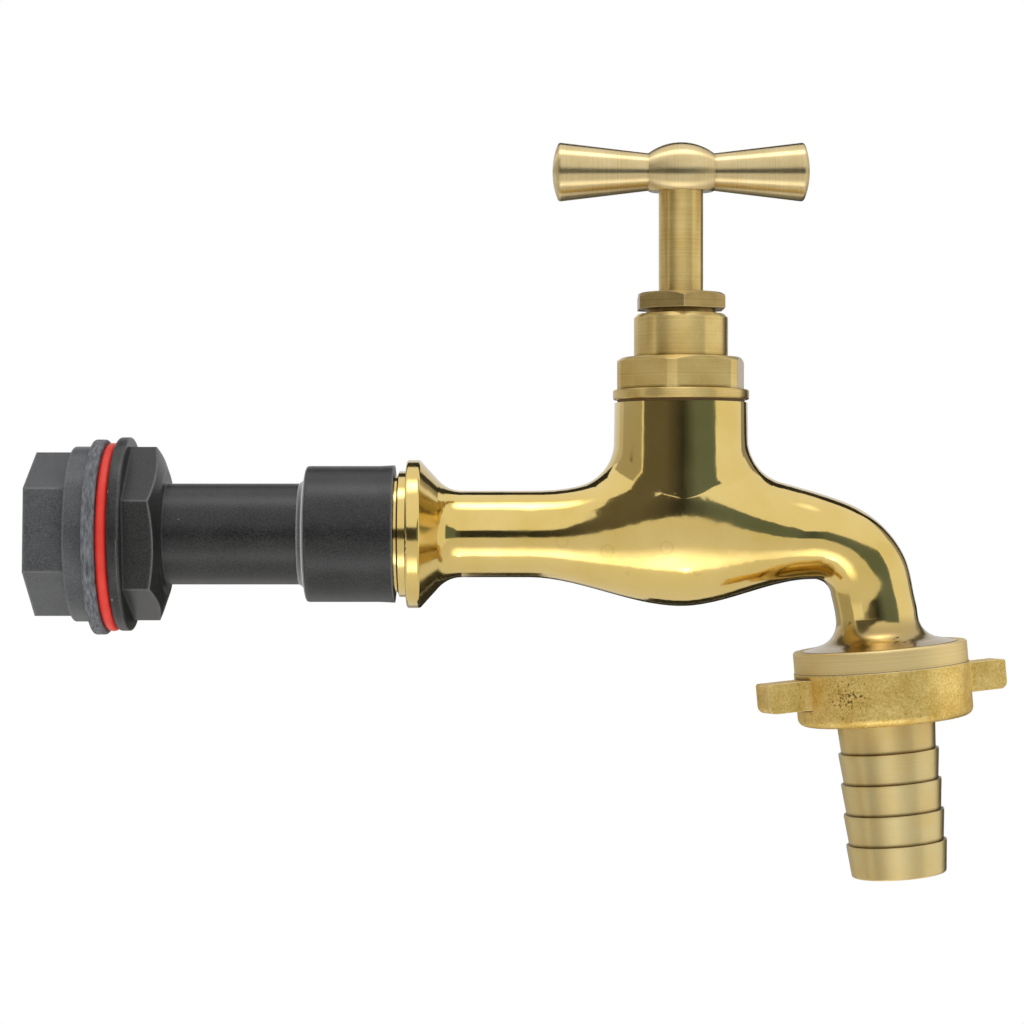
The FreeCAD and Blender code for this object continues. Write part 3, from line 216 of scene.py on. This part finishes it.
def turned_brass(name, axis, tangent_axis, dark, light, keen):
    """Brass bar cut on a lathe: fine rings round the axis that draw the light out along it, while
    what stands beside the piece still shows as a sharp edge. Corners are darkened brown with painted
    shade. keen is the roughness where the tool cut cleanest."""
    material, tree, shader, place = new_material(name)
    along = add(tree, "ShaderNodeVectorMath", {0: place, 1: axis}, operation="DOT_PRODUCT")
    # The tool's feed of about 0.1 mm is drawn coarser so that the rings show
    rings = add(tree, "ShaderNodeTexNoise", {
        "W": along.outputs["Value"], "Scale": per(0.35), "Detail": 6.0, "Roughness": 0.65},
        noise_dimensions="1D")
    grain = add(tree, "ShaderNodeTexNoise", {"Vector": place, "Scale": per(0.45), "Detail": 5.0})
    wear = add(tree, "ShaderNodeTexNoise", {"Vector": place, "Scale": per(5.0), "Detail": 4.0})
    streak = add(tree, "ShaderNodeMath", {0: grain.outputs["Fac"], 1: 0.4, 2: rings.outputs["Fac"]},
                 operation="MULTIPLY_ADD")
    shade = add(tree, "ShaderNodeMath", {0: streak.outputs["Value"], 1: wear.outputs["Fac"]},
                operation="ADD")
    level = add(tree, "ShaderNodeMapRange", {
        "Value": shade.outputs["Value"], "From Min": 0.7, "From Max": 1.7})
    rounded, edge, corner = edges_wear_and_corner_shade(tree, 0.25 * MM)
    body = add(tree, "ShaderNodeMix", {
        "Factor": level.outputs["Result"], "A": linear(dark), "B": linear(light)}, data_type="RGBA")
    rubbed = add(tree, "ShaderNodeMix", {
        "Factor": edge, "A": body.outputs["Result"], "B": linear("#F0DFB0")}, data_type="RGBA")
    # Corners, found by ambient occlusion, are darkened brown with painted shade
    colour = add(tree, "ShaderNodeMix", {
        "Factor": corner, "A": rubbed.outputs["Result"], "B": linear("#7A5C26")}, data_type="RGBA")
    tree.links.new(colour.outputs["Result"], shader.inputs["Base Color"])
    shader.inputs["Metallic"].default_value = 1.0
    gloss = add(tree, "ShaderNodeMapRange", {
        "Value": streak.outputs["Value"], "From Min": 0.4, "From Max": 1.0, "To Min": keen,
        "To Max": keen + 0.12})
    tree.links.new(gloss.outputs["Result"], shader.inputs["Roughness"])
    shader.inputs["Anisotropic"].default_value = 1.0
    shader.inputs["Anisotropic Rotation"].default_value = 0.25
    tangent = add(tree, "ShaderNodeTangent", direction_type="RADIAL", axis=tangent_axis)
    tree.links.new(tangent.outputs["Tangent"], shader.inputs["Tangent"])
    cut = add(tree, "ShaderNodeBump", {
        "Height": streak.outputs["Value"], "Strength": 1.0, "Distance": 0.006 * MM, "Normal": rounded})
    tree.links.new(cut.outputs["Normal"], shader.inputs["Normal"])
    return material


def cast_wing_nut_brass():
    """Pressure-cast brass left from the mould, sandy and slightly shiny, with dark specks of painted shade
    in its hollows and one band cut smooth on the lathe under the rim. Corners get painted shade too."""
    material, tree, shader, place = new_material("Cast brass with a turned band")
    along = outlet_run(tree, place)
    edge = add(tree, "ShaderNodeTexNoise", {"Vector": place, "Scale": per(2.0), "Detail": 2.0})
    wander = add(tree, "ShaderNodeMath", {0: edge.outputs["Fac"], 1: 0.5 * MM, 2: along},
                 operation="MULTIPLY_ADD")
    cast = add(tree, "ShaderNodeMapRange", {
        "Value": wander.outputs["Value"], "From Min": TURNED_BAND + 0.1 * MM,
        "From Max": TURNED_BAND + 0.5 * MM}).outputs["Result"]
    sand = add(tree, "ShaderNodeTexNoise", {
        "Vector": place, "Scale": per(0.55), "Detail": 4.0, "Roughness": 0.6})
    # The lathe's rings on the band are drawn coarser than the tool's feed so that they show
    rings = add(tree, "ShaderNodeTexNoise", {
        "W": along, "Scale": per(0.3), "Detail": 5.0}, noise_dimensions="1D")
    height = add(tree, "ShaderNodeMix", {
        "Factor": cast, "A": rings.outputs["Fac"], "B": sand.outputs["Fac"]})
    depth = add(tree, "ShaderNodeMapRange", {"Value": cast, "To Min": 0.1, "To Max": 1.0})
    rounded, worn, corner = edges_wear_and_corner_shade(tree, 0.3 * MM)
    skin = add(tree, "ShaderNodeBump", {
        "Height": height.outputs["Result"], "Strength": depth.outputs["Result"], "Distance": 0.07 * MM,
        "Normal": rounded})
    tree.links.new(skin.outputs["Normal"], shader.inputs["Normal"])
    tone = add(tree, "ShaderNodeTexNoise", {"Vector": place, "Scale": per(4.0), "Detail": 6.0})
    speckle = add(tree, "ShaderNodeTexNoise", {"Vector": place, "Scale": per(0.4), "Detail": 2.0})
    shade = add(tree, "ShaderNodeMath", {0: tone.outputs["Fac"], 1: speckle.outputs["Fac"]},
                operation="ADD")
    level = add(tree, "ShaderNodeMapRange", {
        "Value": shade.outputs["Value"], "From Min": 0.7, "From Max": 1.3})
    gold = add(tree, "ShaderNodeMix", {
        "Factor": level.outputs["Result"], "A": linear("#D2AB52"), "B": linear("#FBDF90")},
        data_type="RGBA")
    # Painted shade: the low points of the sand are darkened, most of all round one patch
    near_patch = add(tree, "ShaderNodeVectorMath", {0: place, 1: SHADED_PATCH}, operation="DISTANCE")
    patch_shade = add(tree, "ShaderNodeMapRange", {
        "Value": near_patch.outputs["Value"], "From Min": 1.5 * MM, "From Max": 6.0 * MM,
        "To Min": 0.13, "To Max": 0.0})
    deep = add(tree, "ShaderNodeMath", {0: sand.outputs["Fac"], 1: patch_shade.outputs["Result"]},
               operation="SUBTRACT")
    hollow_shade = add(tree, "ShaderNodeMapRange", {
        "Value": deep.outputs["Value"], "From Min": 0.36, "From Max": 0.27})
    shade_specked = add(tree, "ShaderNodeMix", {
        "Factor": hollow_shade.outputs["Result"], "A": gold.outputs["Result"], "B": linear("#7A5E2A")},
        data_type="RGBA")
    lines = add(tree, "ShaderNodeMix", {
        "Factor": rings.outputs["Fac"], "A": linear("#DDC07A"), "B": linear("#F6E3B0")},
        data_type="RGBA")
    banded = add(tree, "ShaderNodeMix", {
        "Factor": cast, "A": lines.outputs["Result"], "B": shade_specked.outputs["Result"]}, data_type="RGBA")
    rubbed = add(tree, "ShaderNodeMix", {
        "Factor": worn, "A": banded.outputs["Result"], "B": linear("#F2E2B2")}, data_type="RGBA")
    # Corners, found by ambient occlusion, are darkened brown with painted shade
    colour = add(tree, "ShaderNodeMix", {
        "Factor": corner, "A": rubbed.outputs["Result"], "B": linear("#6B5226")}, data_type="RGBA")
    tree.links.new(colour.outputs["Result"], shader.inputs["Base Color"])
    gloss = add(tree, "ShaderNodeMapRange", {"Value": cast, "To Min": 0.54, "To Max": 0.47})
    tree.links.new(gloss.outputs["Result"], shader.inputs["Roughness"])
    shader.inputs["Metallic"].default_value = 1.0
    return material


def moulded_polypropylene(name, dark, light, fuzz=0.0):
    """Black polypropylene from a spark-eroded mould: a sandy sheen, paler along edges, which is partly
    rubbed wear and partly a painted highlight, with a greyer bloom and a few pale specks of painted
    glint. fuzz is what rubbing leaves on the skin, which shows pale where the skin is seen edge-on."""
    material, tree, shader, place = new_material(name)
    bloom = add(tree, "ShaderNodeTexNoise", {"Vector": place, "Scale": per(8.0), "Detail": 4.0})
    # Spark erosion leaves about 0.05 mm of grain, drawn coarser so that it shows
    grain = add(tree, "ShaderNodeTexNoise", {
        "Vector": place, "Scale": per(0.35), "Detail": 3.0, "Roughness": 0.7})
    shade = add(tree, "ShaderNodeMath", {0: grain.outputs["Fac"], 1: 4.0, 2: bloom.outputs["Fac"]},
                operation="MULTIPLY_ADD")
    level = add(tree, "ShaderNodeMapRange", {
        "Value": shade.outputs["Value"], "From Min": 1.9, "From Max": 3.1})
    body = add(tree, "ShaderNodeMix", {
        "Factor": level.outputs["Result"], "A": linear(dark), "B": linear(light)}, data_type="RGBA")
    rounded, edge = edges_wear_and_corner_shade(tree, 0.8 * MM)[:2]
    # Edges are paler: partly rubbed wear, partly a painted highlight on their rounded corners
    patchy = add(tree, "ShaderNodeMapRange", {"Value": grain.outputs["Fac"], "To Min": 0.3, "To Max": 1.2})
    rub_and_edge_highlight = add(tree, "ShaderNodeMath", {0: edge, 1: patchy.outputs["Result"]}, operation="MULTIPLY")
    rubbed = add(tree, "ShaderNodeMix", {
        "Factor": rub_and_edge_highlight.outputs["Value"], "A": body.outputs["Result"], "B": linear("#8E8E8C")},
        data_type="RGBA")
    # A few pale specks of painted glint
    glint_cells = add(tree, "ShaderNodeTexVoronoi", {"Vector": place, "Scale": per(5.0), "Randomness": 1.0})
    painted_glint = add(tree, "ShaderNodeMapRange", {
        "Value": glint_cells.outputs["Distance"], "From Min": 0.02, "From Max": 0.045,
        "To Min": 0.6, "To Max": 0.0})
    colour = add(tree, "ShaderNodeMix", {
        "Factor": painted_glint.outputs["Result"], "A": rubbed.outputs["Result"], "B": linear("#C9C6BC")},
        data_type="RGBA")
    tree.links.new(colour.outputs["Result"], shader.inputs["Base Color"])
    shader.inputs["IOR"].default_value = 1.49
    shader.inputs["Sheen Weight"].default_value = fuzz
    shader.inputs["Sheen Roughness"].default_value = 0.4
    gloss = add(tree, "ShaderNodeMapRange", {
        "Value": grain.outputs["Fac"], "From Min": 0.3, "From Max": 0.7, "To Min": 0.28, "To Max": 0.42})
    tree.links.new(gloss.outputs["Result"], shader.inputs["Roughness"])
    sandy = add(tree, "ShaderNodeBump", {
        "Height": grain.outputs["Fac"], "Strength": 1.0, "Distance": 0.02 * MM, "Normal": rounded})
    tree.links.new(sandy.outputs["Normal"], shader.inputs["Normal"])
    return material


def cut_rubber():
    """Black rubber punched from sheet: a dull fibrous grey edge with no shine."""
    material, tree, shader, place = new_material("Punched black rubber")
    threads = add(tree, "ShaderNodeMapping", {"Vector": place, "Scale": (per(0.5), per(2.0), per(2.0))})
    torn = add(tree, "ShaderNodeTexNoise", {
        "Vector": threads.outputs["Vector"], "Scale": 1.0, "Detail": 6.0, "Roughness": 0.65})
    level = add(tree, "ShaderNodeMapRange", {
        "Value": torn.outputs["Fac"], "From Min": 0.3, "From Max": 0.75})
    colour = add(tree, "ShaderNodeMix", {
        "Factor": level.outputs["Result"], "A": linear("#34363A"), "B": linear("#8A8D92")},
        data_type="RGBA")
    tree.links.new(colour.outputs["Result"], shader.inputs["Base Color"])
    shader.inputs["Roughness"].default_value = 0.75
    ragged = add(tree, "ShaderNodeBump", {
        "Height": torn.outputs["Fac"], "Strength": 1.0, "Distance": 0.09 * MM})
    tree.links.new(ragged.outputs["Normal"], shader.inputs["Normal"])
    return material


def red_silicone():
    """Moulded red silicone rubber: an even strong red with a soft sheen."""
    material, tree, shader, place = new_material("Moulded red silicone")
    tone = add(tree, "ShaderNodeTexNoise", {"Vector": place, "Scale": per(3.0), "Detail": 3.0})
    colour = add(tree, "ShaderNodeValToRGB", {"Fac": tone.outputs["Fac"]})
    colour.color_ramp.elements[0].color = linear("#E0261C")
    colour.color_ramp.elements[1].color = linear("#F24A3C")
    tree.links.new(colour.outputs["Color"], shader.inputs["Base Color"])
    shader.inputs["Roughness"].default_value = 0.42
    shader.inputs["IOR"].default_value = 1.41
    return material


def vulcanised_fibre():
    """Grey-brown vulcanised fibre: dull, with a faint paper grain."""
    material, tree, shader, place = new_material("Vulcanised fibre")
    grain = add(tree, "ShaderNodeTexNoise", {"Vector": place, "Scale": per(0.6), "Detail": 4.0})
    colour = add(tree, "ShaderNodeValToRGB", {"Fac": grain.outputs["Fac"]})
    colour.color_ramp.elements[0].color = linear("#5A4424")
    colour.color_ramp.elements[1].color = linear("#7E6236")
    tree.links.new(colour.outputs["Color"], shader.inputs["Base Color"])
    shader.inputs["Roughness"].default_value = 0.7
    return material


def packing_yarn():
    """Greased packing yarn: dark and matt, with the twist of its strands."""
    material, tree, shader, place = new_material("Greased packing yarn")
    twist = add(tree, "ShaderNodeTexWave", {"Vector": place, "Scale": per(4.0), "Distortion": 4.0})
    colour = add(tree, "ShaderNodeValToRGB", {"Fac": twist.outputs["Fac"]})
    colour.color_ramp.elements[0].color = linear("#2C2A26")
    colour.color_ramp.elements[1].color = linear("#5B564C")
    tree.links.new(colour.outputs["Color"], shader.inputs["Base Color"])
    shader.inputs["Roughness"].default_value = 0.85
    return material


def cut_thread(material, start, axis):
    """Add a pipe thread to a finish, past a point on the thread's axis and outside the waterway."""
    tree = material.node_tree
    shader = next(node for node in tree.nodes if node.type == "BSDF_PRINCIPLED")
    place = add(tree, "ShaderNodeTexCoord").outputs["Object"]
    offset = add(tree, "ShaderNodeVectorMath", {0: place, 1: tuple(start)}, operation="SUBTRACT")
    sideways = Vector((0.0, 1.0, 0.0))
    measures = []
    for direction in (axis, sideways, axis.cross(sideways)):
        part = add(tree, "ShaderNodeVectorMath", {0: offset.outputs["Vector"], 1: tuple(direction)},
                   operation="DOT_PRODUCT")
        measures.append(part.outputs["Value"])
    along, side, other = measures
    angle = add(tree, "ShaderNodeMath", {0: side, 1: other}, operation="ARCTAN2")
    pitches = add(tree, "ShaderNodeMath", {0: along, 1: 1.0 / THREAD_PITCH}, operation="MULTIPLY")
    turns = add(tree, "ShaderNodeMath", {
        0: angle.outputs["Value"], 1: 1.0 / (2 * math.pi), 2: pitches.outputs["Value"]},
        operation="MULTIPLY_ADD")
    flank = add(tree, "ShaderNodeMath", {0: turns.outputs["Value"], 1: 0.5}, operation="PINGPONG")
    past = add(tree, "ShaderNodeMath", {0: along, 1: 0.0}, operation="GREATER_THAN")
    across = add(tree, "ShaderNodeCombineXYZ", {"X": side, "Y": other})
    radius = add(tree, "ShaderNodeVectorMath", {0: across.outputs["Vector"]}, operation="LENGTH")
    outside = add(tree, "ShaderNodeMath", {0: radius.outputs["Value"], 1: THREAD_ROOT},
                  operation="GREATER_THAN")
    threaded = add(tree, "ShaderNodeMath", {0: past.outputs["Value"], 1: outside.outputs["Value"]},
                   operation="MULTIPLY")
    ridges = add(tree, "ShaderNodeBump", {
        "Height": flank.outputs["Value"], "Strength": threaded.outputs["Value"], "Distance": THREAD_PITCH,
        "Normal": shader.inputs["Normal"].links[0].from_socket})
    tree.links.new(ridges.outputs["Normal"], shader.inputs["Normal"])


UPRIGHT = (0.0, 0.0, 1.0)
ALONG_INLET = (1.0, 0.0, 0.0)
upright_brass = turned_brass("Turned brass, upright", UPRIGHT, "Z", "#D0AE62", "#F4DC98", 0.31)
# A darker copy of the turned brass for the gland nut
gland_brass = turned_brass("Turned brass, darker", UPRIGHT, "Z", "#9C824A", "#D8BE82", 0.36)
bar_brass = turned_brass("Turned brass, tee bar", ALONG_INLET, "X", "#CEB57C", "#F0DCAC", 0.28)
# The hose tail's copy of the turned brass is paler: painted light that makes it brighter
tail_brass_painted_light = turned_brass("Turned brass, hose tail, painted lighter", tuple(OUTLET_DOWN), "Z", "#FFDF92", "#FFF1BC", 0.46)
connector_plastic = moulded_polypropylene("Moulded black polypropylene", "#070708", "#303030")
# A paler copy of the black polypropylene for the socket's fillet: its grey is a painted reflection
fillet_plastic_painted_reflection = moulded_polypropylene("Black polypropylene, painted reflection", "#303030", "#5A5A58", fuzz=1.0)
backnut_plastic = moulded_polypropylene("Moulded charcoal polypropylene", "#414245", "#5A5C5E")
black_rubber = cut_rubber()
finishes = {
    "tap_body": polished_cast_brass(),
    "bonnet": upright_brass, "gland_nut": gland_brass, "spindle": upright_brass,
    "jumper": upright_brass, "jumper_nut": upright_brass,
    "tee_handle": bar_brass, "hose_tail": tail_brass_painted_light, "union_nut": cast_wing_nut_brass(),
    "tank_connector": connector_plastic, "tank_backnut": backnut_plastic,
    "tank_clamp_washer": black_rubber, "jumper_washer": black_rubber, "union_washer": black_rubber,
    "red_sealing_washer": red_silicone(), "bonnet_washer": vulcanised_fibre(),
    "gland_packing": packing_yarn(),
}
cut_thread(finishes["tap_body"], OUTLET_RIM + THREAD_LEAD * OUTLET_DOWN, OUTLET_DOWN)
cut_thread(connector_plastic, SPIGOT_THREAD_START, TOWARDS_TANK)
for name, material in finishes.items():
    nodes[name].material_slots[0].material = material


def moulded_ring(name, profile, turns, body, material):
    """A ring round the inlet's axis. Its profile is a closed run of places along the axis and radii."""
    points = []
    for turn in range(turns):
        angle = 2 * math.pi * turn / turns
        points += [(x, radius * math.cos(angle), radius * math.sin(angle)) for x, radius in profile]
    corners = len(profile)
    faces = []
    for first in range(0, len(points), corners):
        for corner in range(corners):
            following = (corner + 1) % corners
            beyond = (first + corners) % len(points)
            faces.append((first + corner, beyond + corner, beyond + following, first + following))
    mesh = bpy.data.meshes.new(name)
    mesh.from_pydata(points, [], faces)
    mesh.materials.append(material)
    piece = bpy.data.objects.new(name, mesh)
    scene.collection.objects.link(piece)
    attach(piece, body)


# The fillet that the moulding has in the corner between its tube and its socket, paler grey as a painted
# reflection along its rounded edge.
# Each place is given back from the socket's mouth, with its height over the tube
TUBE_RADIUS = 10.1 * MM
FILLET_TURNS = 128
FILLET = ((19.1, -0.1), (19.05, 0.05), (18.6, 0.3), (18.2, 0.7), (18.05, 1.1), (17.67, 3.0),
          (17.45, 3.38), (17.2, 3.3), (17.2, -0.1))
moulded_ring(
    "socket_fillet", [(SOCKET_MOUTH - back * MM, TUBE_RADIUS + height * MM) for back, height in FILLET],
    FILLET_TURNS, "tap", fillet_plastic_painted_reflection)


def stage_mesh(name, points, faces, paint, only_in_reflections):
    """A part of the studio. A flag shows in reflections alone, as it stands out of the picture."""
    mesh = bpy.data.meshes.new(name)
    mesh.from_pydata(points, [], faces)
    thing = bpy.data.objects.new(name, mesh)
    scene.collection.objects.link(thing)
    mesh.materials.append(paint)
    if only_in_reflections:
        thing.visible_camera = False
        thing.visible_diffuse = False
        thing.visible_shadow = False


def flat_paint(colour, glowing):
    """Even card colour: a glowing one keeps that value in every reflection."""
    material = bpy.data.materials.new("Card " + colour)
    material.use_nodes = True
    tree = material.node_tree
    tree.nodes.clear()
    kind, output = ("ShaderNodeEmission", "Emission") if glowing else ("ShaderNodeBsdfDiffuse", "BSDF")
    paint = add(tree, kind, {"Color": linear(colour)})
    add(tree, "ShaderNodeOutputMaterial", {"Surface": paint.outputs[output]})
    return material


def card(name, corners, colour):
    """A flat card of four corners that shows in reflections alone."""
    stage_mesh(name, corners, [(0, 1, 2, 3)], flat_paint(colour, True), True)


def level_corners(x, y, z):
    """Corners of a level sheet between two x and two y."""
    return [(x[0], y[0], z), (x[1], y[0], z), (x[1], y[1], z), (x[0], y[1], z)]


def upright_card(name, start, end, foot, top, colour):
    """A card standing on a line between two points of the floor's plan."""
    card(name, [(*start, foot), (*end, foot), (*end, top), (*start, top)], colour)


def room_paint():
    """The dim room round the camera: darkest ahead of the tap, a little blue daylight on the right."""
    material = bpy.data.materials.new("Dim room")
    material.use_nodes = True
    tree = material.node_tree
    tree.nodes.clear()
    place = add(tree, "ShaderNodeTexCoord").outputs["Object"]
    across = add(tree, "ShaderNodeSeparateXYZ", {"Vector": place})
    bearing = add(tree, "ShaderNodeMapRange", {
        "Value": across.outputs["X"], "From Min": -0.5, "From Max": 0.6})
    shade = add(tree, "ShaderNodeValToRGB", {"Fac": bearing.outputs["Result"]})
    shade.color_ramp.elements[0].color = linear("#6A6864")
    shade.color_ramp.elements[1].color = linear("#6A797F")
    shade.color_ramp.elements.new(0.55).color = linear("#2E3032")
    glow = add(tree, "ShaderNodeEmission", {"Color": shade.outputs["Color"]})
    add(tree, "ShaderNodeOutputMaterial", {"Surface": glow.outputs["Emission"]})
    return material


def room_wall(skyline, foot):
    """A round wall on the camera's side. Its top follows slopes given at bearings, in degrees."""
    points = []
    for bearing in range(skyline[0][0], skyline[-1][0] + 1, 2):
        before, after = next(pair for pair in zip(skyline, skyline[1:]) if bearing <= pair[1][0])
        along = (bearing - before[0]) / (after[0] - before[0])
        ease = along * along * (3 - 2 * along)
        x = CENTRE_X + ROOM_REACH * math.sin(math.radians(bearing))
        y = -ROOM_REACH * math.cos(math.radians(bearing))
        for slope in (foot, before[1] + (after[1] - before[1]) * ease):
            points.append((x, y, ROOM_REACH * math.tan(math.radians(slope))))
    faces = [(i, i + 2, i + 3, i + 1) for i in range(0, len(points) - 2, 2)]
    stage_mesh("room_wall", points, faces, room_paint(), True)


def softbox(name, place, target, width, depth, watts):
    """A soft rectangular lamp that looks at a point."""
    lamp = bpy.data.lights.new(name, "AREA")
    lamp.shape = "RECTANGLE"
    lamp.size = width
    lamp.size_y = depth
    lamp.energy = watts
    thing = bpy.data.objects.new(name, lamp)
    scene.collection.objects.link(thing)
    thing.location = place
    thing.rotation_euler = (Vector(target) - Vector(place)).to_track_quat("-Z", "Y").to_euler()
    thing.visible_camera = False
    # The cloth glows most in the middle, so its reflection fades out towards the rim
    lamp.use_nodes = True
    tree = lamp.node_tree
    tree.nodes.clear()
    spot = add(tree, "ShaderNodeNewGeometry").outputs["Parametric"]
    away = add(tree, "ShaderNodeVectorMath", {0: spot, 1: (0.5, 0.5, 0.0)}, operation="SUBTRACT")
    flat = add(tree, "ShaderNodeVectorMath", {0: away.outputs["Vector"], 1: (1.0, 1.0, 0.0)},
               operation="MULTIPLY")
    reach = add(tree, "ShaderNodeVectorMath", {0: flat.outputs["Vector"]}, operation="LENGTH")
    fade = add(tree, "ShaderNodeMapRange", {
        "Value": reach.outputs["Value"], "From Min": 0.0, "From Max": 0.5, "To Min": 2.0, "To Max": 0.0},
        interpolation_type="SMOOTHSTEP")
    glow = add(tree, "ShaderNodeEmission", {"Strength": fade.outputs["Result"]})
    add(tree, "ShaderNodeOutputLight", {"Surface": glow.outputs["Emission"]})


# The studio, in metres: a pale floor, a dim room ahead of the tap, and cards behind and beside it
FLOOR_Z = -0.42
CENTRE_X = 0.10
ROOM_REACH = 1.2
ROOM_FOOT = -9
SKYLINE = ((-70, 52), (-46, 44), (-24, 20), (-8, 10), (12, 10), (30, 16), (58, 20))
BACK_Y = 0.6
LEFT_X = -0.9
RIGHT_X = 1.1
BACKDROP_LEFT = -0.50
BACKDROP_RIGHT = 0.47
BACKDROP_TOP = 0.375
FLAG_LEFT = 0.06
FLAG_RIGHT = 0.71
CARD_FOOT = -0.40
CARD_TOP = 0.60
FLAG_COLOUR = "#33322A"
stage_mesh("floor", level_corners((-1.2, 1.4), (-1.2, 1.2), FLOOR_Z), [(0, 1, 2, 3)],
           flat_paint("#F4F3F0", False), False)
room_wall(SKYLINE, ROOM_FOOT)
upright_card("far_floor", (-1.0, -1.25), (1.2, -1.25), -0.62, -0.21, "#E6E5E0")
upright_card("backdrop", (BACKDROP_LEFT, BACK_Y), (BACKDROP_RIGHT, BACK_Y), 0.0, BACKDROP_TOP, "#E2E2E4")
upright_card("upper_flag", (-0.60, BACK_Y), (FLAG_RIGHT, BACK_Y), BACKDROP_TOP, 0.77, FLAG_COLOUR)
upright_card("lower_flag", (FLAG_LEFT, BACK_Y), (FLAG_RIGHT, BACK_Y), CARD_FOOT, 0.0, FLAG_COLOUR)
card("back_floor_flag", level_corners((FLAG_LEFT, FLAG_RIGHT), (0.28, BACK_Y), -0.41), FLAG_COLOUR)
upright_card("low_left_card", (BACKDROP_LEFT, BACK_Y), (FLAG_LEFT, BACK_Y), CARD_FOOT, 0.0, "#A9A7A1")
upright_card("right_flag", (BACKDROP_RIGHT, BACK_Y), (FLAG_RIGHT, BACK_Y), 0.0, BACKDROP_TOP, FLAG_COLOUR)
upright_card("left_card", (LEFT_X, -0.3), (LEFT_X, BACK_Y), CARD_FOOT, CARD_TOP, "#B5B3AD")
upright_card("back_left_card", (LEFT_X, BACK_Y), (BACKDROP_LEFT, BACK_Y), CARD_FOOT, BACKDROP_TOP,
             "#D0CEC8")
upright_card("back_right_card", (FLAG_RIGHT, BACK_Y), (RIGHT_X, BACK_Y), CARD_FOOT, CARD_TOP, "#9C9A94")
upright_card("right_card", (RIGHT_X, -0.5), (RIGHT_X, BACK_Y), CARD_FOOT, CARD_TOP, "#FBFAF6")
MIDDLE = (0.09, 0.0, 0.0)
softbox("top_softbox", (0.09, -0.12, 0.70), MIDDLE, 0.80, 0.40, 1.7)
softbox("low_softbox", (0.09, -0.29, -0.385), MIDDLE, 0.70, 0.38, 0.8)
softbox("low_lamp", (0.14, -0.235, -0.385), MIDDLE, 0.08, 0.06, 0.03)

# The sky looks white to the camera and in reflections, and lights the tap a little less
world = bpy.data.worlds.new("Studio")
scene.world = world
world.use_nodes = True
sky = world.node_tree
sky.nodes.clear()
path = add(sky, "ShaderNodeLightPath")
seen = add(sky, "ShaderNodeMath", {0: path.outputs["Is Camera Ray"], 1: path.outputs["Is Glossy Ray"]},
           operation="MAXIMUM")
seen = add(sky, "ShaderNodeMath", {0: seen.outputs["Value"], 1: path.outputs["Is Transmission Ray"]},
           operation="MAXIMUM")
level = add(sky, "ShaderNodeMapRange", {"Value": seen.outputs["Value"], "To Min": 0.85, "To Max": 1.0})
glow = add(sky, "ShaderNodeBackground", {
    "Color": (1.0, 1.0, 1.0, 1.0), "Strength": level.outputs["Result"]})
add(sky, "ShaderNodeOutputWorld", {"Surface": glow.outputs["Background"]})

# The photograph's viewpoint: level, square to the tap, about half a metre away
lens = bpy.data.cameras.new("Camera")
lens.sensor_width = 36.0
lens.lens = 90.5
lens.clip_start = 0.01
camera = bpy.data.objects.new("Camera", lens)
camera.location = (0.0807, -0.515, 0.0044)
camera.rotation_euler = (math.radians(90.0), 0.0, 0.0)
scene.collection.objects.link(camera)
scene.camera = camera

scene.view_settings.view_transform = "Standard"
